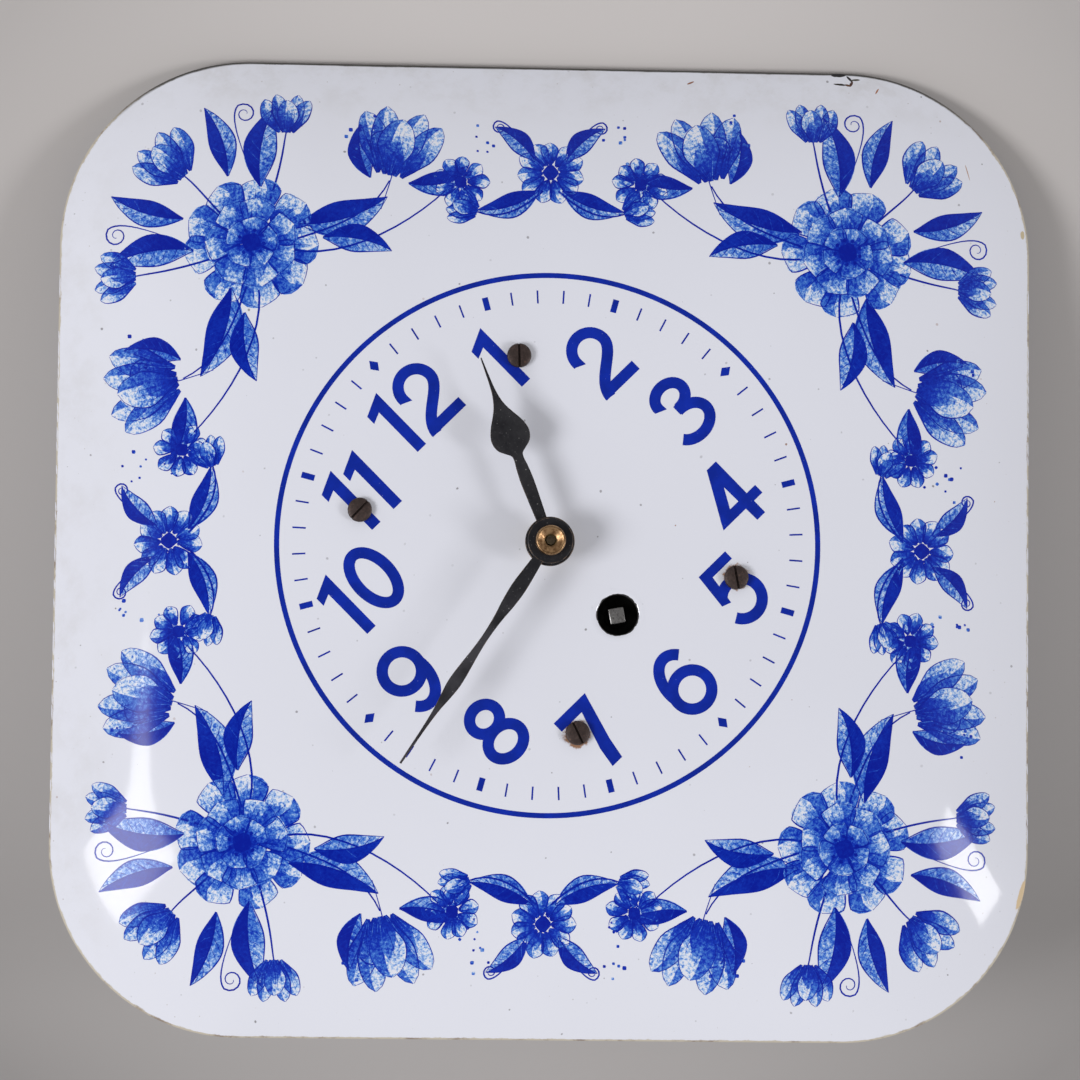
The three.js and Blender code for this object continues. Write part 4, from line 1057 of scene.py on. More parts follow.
# Leaves in each half of a corner spray: place, heading, reach, half width and bend
CORNER_LEAVES = (
    (104, 12, 112, 24, 4.6, 3.5),
    (97, 14, 150, 18, 3.6, -2.5),
    (118, 12, 58, 22, 4.2, -3),
    (126, 8, 22, 20, 3.4, 2.5),
    (92, 40, 118, 17, 3.2, 2.6),
    (100, 34, 40, 15, 3.0, -2.4),
)


def move(x, y, degrees=0, flip=False):
    """A place for motifs: they grow along its x axis."""
    along, across = math.cos(math.radians(degrees)), math.sin(math.radians(degrees))
    side = -1 if flip else 1
    return Matrix(((along, -side * across, x), (across, side * along, y), (0, 0, 1)))


def facing(distance, heading):
    """A place at a distance from a motif's middle, that looks away from it."""
    angle = math.radians(heading)
    return move(distance * math.cos(angle), distance * math.sin(angle), heading)


class Brush:
    """Lays strokes of paint on the dome, and keeps the tone of each."""

    def __init__(self, dome, seed):
        self.dome = dome
        self.film = flowers().film / MM
        self.line = flowers().line / MM
        self.bm = bmesh.new()
        self.tone = self.bm.verts.layers.float.new("tone")
        self.chance = random.Random(seed)
        self.count = 0

    def stroke(self, place, points, widths, tone, layer, columns=None):
        """One stroke: half widths at shares of its line, and a tone, or tones at both ends."""
        line = Line([(place @ Vector((*point, 1))).xy for point in points])
        columns = columns or len(points) - 1
        rows = max(1, min(6, math.ceil(max(width for _, width in widths) / ROW)))
        first, last = tone if isinstance(tone, tuple) else (tone, tone)
        made = bmesh.ops.create_grid(self.bm, x_segments=columns, y_segments=rows, size=1)["verts"]
        self.count += 1
        lift = self.film + layer + BRUSH_RISE * (self.count % 16)
        for vert in made:
            along, across = (vert.co.x + 1) / 2, vert.co.y
            point, side = line.at(along)
            half = max(between(widths, along), LEAST_WIDTH)
            x, y = point + side * half * across
            vert.co = (x, y, self.dome.height(x, y) + lift)
            vert[self.tone] = first + (last - first) * along

    def pen(self, place, points, tone, width):
        """A drawn line, thick in its middle and fine at its ends."""
        half = 0.5 * self.line * width
        self.stroke(place, points, [(0, 0.45 * half), (0.4, half), (1, 0.3 * half)], tone, DRAWN)

    def dab(self, place, middle, radius, tone, layer, columns, end=0.25):
        """A round touch of the brush."""
        x, y = middle
        widths = [(0, end * radius), (0.5, radius), (1, end * radius)]
        self.stroke(place, [(x - radius, y), (x, y), (x + radius, y)], widths, tone, layer, columns)

    def petal(self, place, reach, breadth, fullness, tone, veins):
        """A petal: a wash, a shaded foot and side, drawn edges and veins."""
        jitter = self.chance.uniform
        shape = [(0, 0.10 * breadth), (0.22, 0.55 * breadth), (fullness, breadth), (0.88, 0.62 * breadth),
                 (1, 0.04 * breadth)]
        foot = [(0, 0.09 * breadth), (0.4, 0.62 * breadth), (1, 0.10 * breadth)]
        flank = [(share, 0.36 * width) for share, width in shape]
        bend = jitter(-0.06, 0.06) * reach
        spine = bezier((0, 0), (0.35 * reach, bend), (0.7 * reach, bend), (reach, 0), 12)
        self.stroke(place, spine, shape, (tone + 0.30, tone - 0.10), WASH, 14)
        self.stroke(place, spine[:9], foot, (1.0, 0.42), SHADE, 10)
        self.stroke(place, beside(spine, shape, -0.62), flank, (0.86, 0.50), SHADE, 12)
        for side in (-1, 1):
            self.pen(place, beside(spine, shape, side), jitter(0.82, 0.98), jitter(0.8, 1.35))
        for vein in range(veins):
            spread = (vein + 0.5) / veins * 2 - 1 + jitter(-0.08, 0.08)
            stop = 5 + int(5 * (1 - 0.6 * abs(spread)) + jitter(0, 1.5))
            self.pen(place, beside(spine, shape, 0.8 * spread)[:stop], jitter(0.6, 0.9), jitter(0.45, 0.7))

    def leaf(self, place, reach, breadth, bend):
        """A long leaf with a dark side, a midrib and slanting hatches."""
        jitter = self.chance.uniform
        spine = bezier((0, 0), (0.3 * reach, bend), (0.7 * reach, 1.2 * bend), (reach, 0.55 * bend), 16)
        shape = [(0, 0.05 * breadth), (0.3, 0.85 * breadth), (0.5, breadth), (0.8, 0.5 * breadth), (1, 0.03)]
        half = [(share, 0.5 * width) for share, width in shape]
        self.stroke(place, spine, shape, (0.62, 0.34), WASH, 16)
        self.stroke(place, beside(spine, shape, -0.48), half, (1.0, 0.84), SHADE, 14)
        self.pen(place, spine, 0.98, 1.3)
        for side in (-1, 1):
            self.pen(place, beside(spine, shape, side), 0.92, 1.1)
            for rib in range(3, 14, 2):
                x, y = spine[rib]
                end, level = spine[rib + 2]
                rise = 0.82 * side * between(shape, (rib + 2) / 16)
                hatch = [(x, y), ((x + end) / 2, y + 0.6 * rise), (end, level + rise)]
                self.pen(place, hatch, jitter(0.7, 0.95), jitter(0.5, 0.75))

    def stem(self, place, points):
        half = 0.85 * self.line
        self.stroke(place, points, [(0, half), (0.5, 0.85 * half), (1, 0.6 * half)], 0.93, DRAWN)

    def tendril(self, place, reach, side):
        """A stalk that ends in a curl to its left, 1, or right, -1."""
        tip = (0.8 * reach, 0.16 * side * reach)
        points = bezier((0, 0), (0.4 * reach, 0), (0.72 * reach, 0.02 * reach), tip, 10)
        centre = Vector((0.66 * reach, 0.2 * side * reach))
        first = Vector(tip) - centre
        for k in range(1, CURL_STEPS + 1):
            share = k / CURL_STEPS
            spin = Matrix.Rotation(side * math.tau * CURL_TURNS * share, 2)
            points.append(tuple(centre + (spin @ first) * (1 - 0.78 * share)))
        self.pen(place, points, 0.9, 1.25)

    def dots(self, place, count, spread, size=0.5):
        """Loose dabs of the brush."""
        jitter = self.chance.uniform
        for _ in range(count):
            x = jitter(-spread, spread)
            y = jitter(-spread, spread)
            radius = size * jitter(0.6, 1.2)
            self.dab(place, (x, y), radius, jitter(0.5, 0.95), DRAWN, 6)

    def daisy(self, place, radius, petals=9):
        """An open flower with a stippled middle."""
        start = self.chance.uniform(0, 40)
        for k in range(petals):
            heading = start + 360 * k / petals + self.chance.uniform(-5, 5)
            reach = 0.78 * radius * self.chance.uniform(0.92, 1.05)
            self.petal(place @ facing(0.24 * radius, heading), reach, 0.26 * radius, 0.68, 0.22, 2)
        self.eye(place, 0.24 * radius)

    def rose(self, place, radius):
        """A full flower: three rings of petals over each other, about a dark eye."""
        ground = self.film
        for ring, (count, inset, reach, breadth) in enumerate(ROSE_RINGS):
            self.film = ground + PETAL_RISE * ring
            for k in range(count):
                heading = 360 * (k + 0.5 * ring) / count + self.chance.uniform(-6, 6)
                inner = place @ facing(inset * radius, heading)
                self.petal(inner, reach * radius, breadth * radius, 0.74, 0.26 + 0.10 * ring, 5)
        self.eye(place, 0.15 * radius)
        self.film = ground

    def eye(self, place, radius):
        """The dense round middle of a flower, with stipples about it."""
        self.dab(place, (0, 0), radius, 0.98, EYE, 12, 0.30)
        for spot in arc(0, 0, 1.3 * radius, 1.3 * radius, 0, 320, 8):
            self.dab(place, spot, 0.2 * radius, 0.95, STIPPLE, 4)

    def tulip(self, place, size):
        """A tulip in side view: outer petals, inner petals and a front one."""
        for heading, shift, share in TULIP_PETALS:
            self.petal(place @ move(0, shift * size, heading), share * size, 0.2 * size, 0.5, 0.30, 4)
        self.film += PETAL_RISE
        self.petal(place, 0.84 * size, 0.25 * size, 0.5, 0.24, 5)
        self.film -= PETAL_RISE


class CLOCK_OT_flower_sprays(bpy.types.Operator):
    """Blue flower sprays in the corners and along the sides of the dial"""

    bl_idname = "clock.flower_sprays"
    bl_label = "Flower sprays"

    def execute(self, context):
        dome = Dome()
        seed = flowers().seed
        paint = finish_of("brush_blue", brush_blue)
        for index, hour in enumerate((12, 3, 6, 9)):
            brush = Brush(dome, seed + index)
            self.corner_spray(brush, move(0, 0, 90 - 30 * hour))
            make_film(brush.bm, f"corner_spray_{hour}", paint, PAINT_DEPTH)
        for index, hour in enumerate((1.5, 4.5, 7.5, 10.5)):
            brush = Brush(dome, seed + 10 + index)
            self.side_sprig(brush, move(0, 0, 90 - 30 * hour))
            make_film(brush.bm, f"side_sprig_{index + 1}", paint, PAINT_DEPTH)
        return {"FINISHED"}

    @staticmethod
    def corner_spray(brush, out):
        """A rose, tulips, daisies and leaves about the line to a corner."""
        for flip in (False, True):
            half = out @ move(0, 0, flip=flip)
            brush.stem(half, bezier((104, 4), (98, 16), (92, 26), (96, 37), 12))
            brush.stem(half, bezier((104, 4), (90, 10), (84, 30), (84, 46), 12))
            brush.stem(half, bezier((112, 8), (118, 20), (122, 24), (124, 27), 10))
            brush.tendril(half @ move(92, 30, 62), 26, -1)
            brush.tendril(half @ move(125, 14, 24), 20, 1)
            for x, y, heading, reach, breadth, bend in CORNER_LEAVES:
                brush.leaf(half @ move(x, y, heading), reach, breadth, bend)
            brush.tulip(half @ move(97, 38, 58), 19)
            brush.daisy(half @ move(83, 50), 7.2)
            brush.tulip(half @ move(124, 27, 46), 11)
            brush.dots(half @ move(110, 42), 7, 5)
            brush.dots(half @ move(88, 62), 6, 4)
        brush.stem(out, bezier((112, 0), (122, 1), (130, -1), (135, 0), 10))
        brush.tulip(out @ move(134, 0), 14)
        brush.rose(out @ move(109, 0, 20), 17)

    @staticmethod
    def side_sprig(brush, out):
        """A daisy with leaves and buds beside the ring."""
        for flip in (False, True):
            half = out @ move(0, 0, flip=flip)
            brush.leaf(half @ move(92, 3, 104), 17, 3.2, 2.6)
            brush.leaf(half @ move(100, 4, 52), 14, 2.8, -2)
            brush.stem(half, bezier((92, 2), (86, 8), (84, 14), (86, 19), 10))
            brush.tulip(half @ move(86, 19, 70), 8)
            brush.tendril(half @ move(104, 6, 36), 13, 1)
            brush.dots(half @ move(98, 20), 5, 3.5, 0.4)
        brush.daisy(out @ move(97, 0), 8.6, 11)


# Hands and nut


# Half widths of the hands in millimetres at shares of their length
HOUR_WIDTHS = (
    (0.08, 1.3), (0.24, 1.6), (0.33, 1.72), (0.40, 1.55), (0.455, 1.3), (0.475, 1.6), (0.495, 2.8),
    (0.515, 4.0), (0.54, 4.75), (0.575, 5.05), (0.61, 4.72), (0.65, 3.85), (0.69, 2.68), (0.73, 1.65),
    (0.77, 1.0), (0.81, 0.62), (0.86, 0.4), (0.93, 0.28), (1, 0.15),
)
MINUTE_WIDTHS = (
    (0.06, 1.25), (0.13, 1.6), (0.21, 1.92), (0.28, 1.68), (0.34, 1.2), (0.39, 0.95), (0.44, 0.87),
    (0.5, 1.04), (0.56, 1.38), (0.61, 1.62), (0.65, 1.65), (0.7, 1.27), (0.75, 0.8), (0.8, 0.56),
    (0.86, 0.42), (0.93, 0.36), (1, 0.28),
)
# Radius of the hole in a hand's eye, and how far the blade's front lies behind the eye's
EYE_HOLE, BLADE_STEP = 2.2, 0.03
# The hand nut: radius of its bore, lower bevel, rim and dish as distances in and down, and depth of its floor
NUT_BORE, NUT_BEVEL = 1.5, 0.1
NUT_DISH = (
    (0, 0.7), (0.1, 0.3), (0.3, 0.05), (0.48, 0), (0.66, 0.06), (1.2, 0.42), (1.8, 0.84), (2.1, 1.0),
)
NUT_FLOOR = 1.05


class CLOCK_OT_hands(bpy.types.Operator):
    """Black hour and minute hands"""

    bl_idname = "clock.hands"
    bl_label = "Hands"

    def execute(self, context):
        # Each blade's paler tone is partly wear and partly painted sheen, most of all on the minute hand.
        self.hand("hour_hand", HOUR_WIDTHS, hands().hour_eye, reach=50, bearing=23.8,
                  rubbed=(0.024, 0.0235, 0.027))
        self.hand("minute_hand", MINUTE_WIDTHS, hands().minute_eye, reach=68, bearing=258.3,
                  rubbed=(0.045, 0.043, 0.051))
        return {"FINISHED"}

    @staticmethod
    def hand(node, widths, eye, reach, bearing, rubbed):
        """A hand's blade, at a bearing in degrees from 12 o'clock, and its round eye."""
        front = Extent(node).front
        gauge = hands().gauge / MM
        edge = hands().edge / MM
        start, end = widths[0][0], widths[-1][0]
        bm = bmesh.new()

        def place(along, across):
            share = start + (end - start) * along
            return share * reach, between(widths, share) * (2 * across - 1), front - BLADE_STEP
        sheet(bm, 150, 4, place)
        turned = Matrix.Rotation(math.radians(90 - bearing), 4, "Z")
        bmesh.ops.transform(bm, matrix=turned, verts=bm.verts)
        paint = [finish_of(f"{node}_paint", hand_black(rubbed)), finish_of("worn_edge", worn_edge)]
        blade = make_piece(bm, f"{node}_blade", paint, node, [node])
        thicken(blade, gauge - BLADE_STEP)
        round_edges(blade, edge, material=1)
        radius = eye / MM / 2
        bm = bmesh.new()
        washer = [(EYE_HOLE, 0), (radius, 0), (radius, gauge), (EYE_HOLE, gauge), (EYE_HOLE, 0)]
        turn(bm, washer, 72, z=front - gauge)
        disc = make_piece(bm, f"{node}_eye", paint, node)
        round_edges(disc, 1.6 * edge, material=1)


class CLOCK_OT_hand_nut(bpy.types.Operator):
    """Dished brass nut on the hands"""

    bl_idname = "clock.hand_nut"
    bl_label = "Hand nut"

    def execute(self, context):
        nut = Extent("hand_nut")
        radius = (nut.right - nut.left) / 2
        tall = nut.front - nut.rear
        dish = [(radius - inset, tall - fall) for inset, fall in NUT_DISH]
        foot = [(NUT_BORE, 0), (radius - NUT_BEVEL, 0), (radius, NUT_BEVEL)]
        bm = bmesh.new()
        turn(bm, [*foot, *dish, (NUT_BORE, tall - NUT_FLOOR), foot[0]], 64, z=nut.rear)
        brass = finish_of("nut_brass", nut_brass)
        make_piece(bm, "brass_hand_nut", [brass], "minute_hand", ["hand_nut"])
        return {"FINISHED"}


# Screws, winding arbor, cover and hanger


# Screws: depth of the head and of its slot, and radius of the shank
HEAD_DEPTH, SLOT_DEPTH, SHANK = 1.6, 0.85, 1.6
# The core that joins both halves of a head: how much less wide it is, and the slope of its foot
CORE_INSET, CORE_SLOPE = 0.12, 0.02
# Side and crown of a screw's head as distances in and down
HEAD_CROWN = ((0.05, HEAD_DEPTH), (0, 1.5), (0, 0.55), (0.16, 0.26), (0.6, 0.08), (1.6, 0))
# Width and height of the bevel at a screw's tip
TIP_WIDTH, TIP_HEIGHT = 0.2, 0.3
# Angle of each dial screw's slot
SLOT_ANGLES = {"upper_right": 47, "upper_left": 2, "lower_right": 56, "lower_left": -109}
# Width and angles of the cover screws' slots
COVER_SLOT = 0.9
COVER_SLOT_ANGLES = {"right": 24, "left": -63}
# The winding arbor's square: side, length, bevel and angle, and how far the shaft runs into it
SQUARE, SQUARE_LENGTH, SQUARE_BEVEL, SQUARE_ANGLE, SQUARE_SOCKET = 4.1, 7.4, 0.32, -34.5, 0.3
# Radii of the winding arbor, each up to a height, and of its last step
ARBOR_STEPS = ((2, 8.5), (3, 10.8), (5, 20.5), (3, 30))
ARBOR_END = 2.78
# Pressed seats of the cover screws: distance from the middle, radius, width of the slope and depth
SEAT_PLACE, SEAT_RADIUS, SEAT_SLOPE, SEAT_DEPTH = 22, 5.3, 1.4, 2.4
# Radius of the cover screws' holes, and the heights that their cutters reach between
COVER_HOLE, COVER_HOLE_LOW, COVER_HOLE_HIGH = 1.75, 0.5, 6
# The regulator's slot: place of its pivot, radius, half width and half angle
PIVOT_X, PIVOT_Y, SLOT_RADIUS, SLOT_HALF, SLOT_SPREAD = 8.03, 29.08, 12.2, 1.6, 26
# Foot and height of the slot's cutter
SLOT_FOOT, SLOT_HEIGHT = -1.5, 4
# Rounding of the hanger's bend, upper corners and edges, and its keyhole cutter's foot and height
HANGER_BEND, HANGER_CORNER, HANGER_EDGE = 1.8, 4.0, 0.14
KEYHOLE_FOOT, KEYHOLE_HEIGHT = -2, 6


def slotted_screw(name, node, finish, head, slot, degrees, backwards=False):
    """A slotted screw that stands for a packed one, its head to the front or to the wall."""
    screw = Extent(node)
    tip = screw.rear - screw.front
    radius = head / MM / 2
    core = radius - CORE_INSET
    crown = [(radius - inset, -fall) for inset, fall in HEAD_CROWN]
    bm = bmesh.new()
    for side in (-1, 1):
        half = bmesh.new()
        turn(half, [(0, -HEAD_DEPTH), *crown, (0, 0)])
        whole_head = half.verts[:] + half.edges[:] + half.faces[:]
        cut = bmesh.ops.bisect_plane(half, geom=whole_head, plane_co=(0, side * slot / 2, 0),
                                     plane_no=(0, -side, 0), clear_outer=True)
        bmesh.ops.holes_fill(half, edges=only(cut["geom_cut"], bmesh.types.BMEdge))
        bmesh.ops.recalc_face_normals(half, faces=half.faces)
        scrap = bpy.data.meshes.new("half_head")
        half.to_mesh(scrap)
        half.free()
        bm.from_mesh(scrap)
        bpy.data.meshes.remove(scrap)
    shank = [(0, tip), (SHANK - TIP_WIDTH, tip), (SHANK, tip + TIP_HEIGHT), (SHANK, -HEAD_DEPTH - CORE_SLOPE)]
    turn(bm, [*shank, (core, -HEAD_DEPTH), (core, -SLOT_DEPTH), (0, -SLOT_DEPTH)], 40)
    placed = Matrix.Translation((screw.x, screw.y, screw.front))
    if backwards:
        placed = Matrix.Translation((screw.x, screw.y, screw.rear)) @ Matrix.Rotation(math.pi, 4, "Y")
    spun = Matrix.Rotation(math.radians(degrees), 4, "Z")
    bmesh.ops.transform(bm, matrix=placed @ spun, verts=bm.verts)
    make_piece(bm, name, [finish], "case", [node])


class CLOCK_OT_dial_screws(bpy.types.Operator):
    """Slotted, oxidised dial screws"""

    bl_idname = "clock.dial_screws"
    bl_label = "Dial screws"

    def execute(self, context):
        rusty = finish_of("rusty_screw", rusty_screw)
        for corner in CORNERS:
            slotted_screw(f"slotted_screw_{corner}", f"dial_screw_{corner}", rusty,
                          fittings().head, fittings().slot / MM, SLOT_ANGLES[corner])
        return {"FINISHED"}


class CLOCK_OT_winding_arbor(bpy.types.Operator):
    """Winding arbor with its bevelled square"""

    bl_idname = "clock.winding_arbor"
    bl_label = "Winding arbor"

    def execute(self, context):
        arbor = Extent("winding_arbor")
        bm = bmesh.new()
        bmesh.ops.create_cube(bm, size=1)
        shape = (Matrix.Translation((0, 0, arbor.front - SQUARE_LENGTH / 2))
                 @ Matrix.Rotation(math.radians(SQUARE_ANGLE), 4, "Z")
                 @ Matrix.Diagonal((SQUARE, SQUARE, SQUARE_LENGTH, 1)))
        bmesh.ops.transform(bm, matrix=shape, verts=bm.verts)
        bmesh.ops.bevel(bm, geom=bm.edges[:], offset=SQUARE_BEVEL, segments=3, profile=0.5, affect="EDGES",
                        material=-1)
        shoulder = arbor.front - SQUARE_LENGTH + SQUARE_SOCKET
        profile = [(0, arbor.rear)]
        for radius, height in (*ARBOR_STEPS, (ARBOR_END, shoulder)):
            profile += [(radius, profile[-1][1]), (radius, height)]
        for face in turn(bm, [*profile, (0, shoulder)], 40):
            face.material_index = 1
        bmesh.ops.translate(bm, vec=(0, -dial().winding_drop / MM, 0), verts=bm.verts)
        bright = finish_of("key_steel", metal((0.40, 0.39, 0.39), (0.20, 0.185, 0.175), 0.34, 0.5))
        # The shaft inside the winding hole is near-black as painted shade.
        make_piece(bm, "winding_square", [bright, finish_of("smoked_steel", smoked_steel)], "winding_arbor",
                   ["winding_arbor"])
        return {"FINISHED"}


class CLOCK_OT_dust_cover(bpy.types.Operator):
    """Drawn dust cover over the movement, with its two screws"""

    bl_idname = "clock.dust_cover"
    bl_label = "Dust cover"

    def execute(self, context):
        settings = fittings()
        cover = Extent("dust_cover")
        edge = settings.cover_edge / MM
        self.corner = settings.cover_corner / MM - edge
        self.half = (cover.right - edge, cover.top - edge)
        bm = bmesh.new()
        made = bmesh.ops.create_grid(bm, x_segments=72, y_segments=96, size=1)["verts"]
        for vert in made:
            x, y = self.rounded(vert.co.x * self.half[0], vert.co.y * self.half[1])
            vert.co = (x, y, self.dimple(x, y))
        self.walls(bm, edge, cover.front)
        bmesh.ops.recalc_face_normals(bm, faces=bm.faces)
        if min(bm.faces, key=lambda face: face.calc_center_median().length).normal.z > 0:
            bmesh.ops.reverse_faces(bm, faces=bm.faces)
        plated = finish_of("plated_sheet", plated_sheet)
        piece = make_piece(bm, "drawn_cover", [plated], "case", ["dust_cover"])
        thicken(piece, settings.cover_gauge / MM)
        holes = bmesh.new()
        for side in COVER_SLOT_ANGLES:
            drill(holes, Extent(f"cover_screw_{side}").x, 0, COVER_HOLE, COVER_HOLE_LOW, COVER_HOLE_HIGH, 24)
        self.regulator_slot(holes)
        carve(piece, holes)
        bright = finish_of("bright_screw", metal(settings.steel, (0.24, 0.23, 0.22), 0.36, 0.5))
        for side, degrees in COVER_SLOT_ANGLES.items():
            slotted_screw(f"slotted_cover_screw_{side}", f"cover_screw_{side}", bright,
                          settings.cover_head, COVER_SLOT, degrees, backwards=True)
        return {"FINISHED"}

    def past_corner(self, x, y):
        """How far a place lies beyond the middle of the nearest round corner, across and along."""
        return abs(x) - self.half[0] + self.corner, abs(y) - self.half[1] + self.corner

    def rounded(self, x, y):
        """Draws the corners of a rectangle's grid in to round ones."""
        across, along = self.past_corner(x, y)
        if across <= 0 or along <= 0:
            return x, y
        inward = across * (1 - math.sqrt(1 - (along / self.corner) ** 2 / 2))
        downward = along * (1 - math.sqrt(1 - (across / self.corner) ** 2 / 2))
        return math.copysign(abs(x) - inward, x), math.copysign(abs(y) - downward, y)

    def outward(self, x, y):
        """Direction out of the rounded outline at a place on it."""
        across, along = self.past_corner(x, y)
        return Vector((math.copysign(max(across, 0), x), math.copysign(max(along, 0), y))).normalized()

    @staticmethod
    def dimple(x, y):
        """Depth of the pressed seats of the cover screws."""
        gap = math.hypot(abs(x) - SEAT_PLACE, y)
        fall = min(max((SEAT_RADIUS - gap) / SEAT_SLOPE, 0), 1)
        return SEAT_DEPTH * fall * fall * (3 - 2 * fall)

    def walls(self, bm, edge, front):
        """Rolls the edge of the back over and draws the sides out to the front."""
        rim = [item for item in bm.edges if item.is_boundary]
        bends = arc(0, edge, edge, -edge, 90, 0, 6)
        for (before, _), (reach, level) in zip(bends, bends[1:]):
            made = bmesh.ops.extrude_edge_only(bm, edges=rim)["geom"]
            rim = only(made, bmesh.types.BMEdge)
            for vert in only(made, bmesh.types.BMVert):
                x, y = vert.co.xy + self.outward(vert.co.x, vert.co.y) * (reach - before)
                vert.co = (x, y, level)
        made = bmesh.ops.extrude_edge_only(bm, edges=rim)["geom"]
        for vert in only(made, bmesh.types.BMVert):
            vert.co.z = front

    @staticmethod
    def regulator_slot(bm):
        """Cutter of the curved slot that the regulator's tail moves in."""
        def place(along, across):
            swing = 2 * along - 1
            angle = math.radians(SLOT_SPREAD * swing - 90)
            spread = math.sqrt(max(1 - abs(swing) ** 12, 0.01))
            radius = SLOT_RADIUS + SLOT_HALF * spread * (2 * across - 1)
            return PIVOT_X + radius * math.cos(angle), PIVOT_Y + radius * math.sin(angle), SLOT_FOOT
        made = sheet(bm, 48, 2, place)
        faces = dict.fromkeys(face for vert in made for face in vert.link_faces)
        raise_faces(bm, list(faces), SLOT_HEIGHT)


class CLOCK_OT_hanger(bpy.types.Operator):
    """Bent hanger with its keyhole"""

    bl_idname = "clock.hanger"
    bl_label = "Hanger"

    def execute(self, context):
        hanger = Extent("hanger")
        gauge = fittings().hanger_gauge / MM
        level, back = hanger.foot + gauge / 2, hanger.rear + gauge / 2
        low, near = level + HANGER_BEND, back + HANGER_BEND
        path = [(level, hanger.front + (near - hanger.front) * k / 12) for k in range(13)]
        path += arc(low, near, -HANGER_BEND, -HANGER_BEND, 0, 90, 6)[1:]
        path += [(low + (hanger.top - low) * k / 24, back) for k in range(1, 25)]
        bm = bmesh.new()

        def place(along, across):
            y, z = path[round(along * (len(path) - 1))]
            inset = max(y - hanger.top + HANGER_CORNER, 0)
            wide = hanger.right - HANGER_CORNER + math.sqrt(max(HANGER_CORNER ** 2 - inset ** 2, 0))
            return wide * (2 * across - 1), y, z
        sheet(bm, len(path) - 1, 12, place)
        bmesh.ops.remove_doubles(bm, verts=bm.verts, dist=MERGE)
        plated = finish_of("plated_sheet", plated_sheet)
        piece = make_piece(bm, "keyhole_hanger", [plated], "case", ["hanger"])
        thicken(piece, gauge, offset=0)
        carve(piece, self.keyhole(height=54.5, radius=4.5, crown=60.25, neck=1.9))
        round_edges(piece, HANGER_EDGE)
        return {"FINISHED"}

    @staticmethod
    def keyhole(height, radius, crown, neck):
        """Cutter of a round hole with a narrow, round ended slot above it."""
        side = math.degrees(math.acos(neck / radius))
        bm = bmesh.new()
        outline = arc(0, height, radius, radius, 180 - side, 360 + side, 56)
        outline += arc(0, crown, neck, neck, 0, 180, 24)
        face = bm.faces.new([bm.verts.new((x, y, KEYHOLE_FOOT)) for x, y in outline])
        raise_faces(bm, [face], KEYHOLE_HEIGHT)
        return bm


# Pieces that stay as they were packed, by finish; the others are bright steel
# Parts seen through the winding hole get near-black steel as painted shade.
SHADE_DARK_NODES = ("front_plate", "ratchet_wheel", "click", "click_screw")
SPRING_NODES = ("mainspring", "hairspring", "click_spring")
BRASS_NODES = ("back_plate", "mainspring_barrel", "barrel_cover", "regulator_lever", "cannon_pinion")
BRASS_WORDS = ("wheel", "stud", "nut", "post")


class CLOCK_OT_movement(bpy.types.Operator):
    """Finishes of the pieces that stay as they were packed"""

    bl_idname = "clock.movement"
    bl_label = "Movement"

    def execute(self, context):
        brass = metal(fittings().gear_brass, (0.40, 0.27, 0.11), 0.32)
        steel = metal(fittings().steel, (0.30, 0.29, 0.28), 0.3)
        blued = metal((0.09, 0.12, 0.24), (0.05, 0.06, 0.11), 0.26)
        arbor_shade = metal((0.15, 0.115, 0.075), (0.07, 0.052, 0.036), 0.4)
        for name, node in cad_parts.items():
            if node.hide_render:
                continue
            if name in SHADE_DARK_NODES:
                finish = finish_of("smoked_steel", smoked_steel)
            # The centre arbor's end sits in the nut's dark dish, so its dark brown is painted shade.
            elif name == "centre_arbor":
                finish = finish_of("bronzed_steel", arbor_shade)
            elif name in SPRING_NODES:
                finish = finish_of("blued_spring", blued)
            elif name in BRASS_NODES or any(word in name for word in BRASS_WORDS):
                finish = finish_of("gear_brass", brass)
            else:
                finish = finish_of("arbor_steel", steel)
            node.data.materials.clear()
            node.data.materials.append(finish)
        return {"FINISHED"}


# Stage, in metres


# Lamps: place to the right, up and out from the dial's middle as the picture shows it, size, degrees of turn
LAMPS = {
    "left": ((-1.54, -0.47, 1.53), (0.72, 0.92), 2),
    "right": ((1.76, -0.47, 1.26), (0.44, 0.72), 14),
    "rear": ((0.5, 0.7, -1.3), (0.80, 0.80), 0),
}
# The camera's place and what it looks at
CAMERA_PLACE = Vector((-0.1055, -1.2, -0.0217))
CAMERA_SIGHT = Vector((-0.00085, -0.042, 0.00218))
# The wall's gap behind the clock, a place on the line that it leans about, and half its side
WALL_GAP = 0.0006
WALL_HINGE = (0.0424, WALL_GAP, 0.0424)
WALL_HALF = 2.5
# Range over which the room's light grows from behind the camera to the sides, and its shares of the fill
ROOM_NEAR, ROOM_FAR, ROOM_LEAST, ROOM_MOST = -0.95, -0.5, 0.3, 1.2


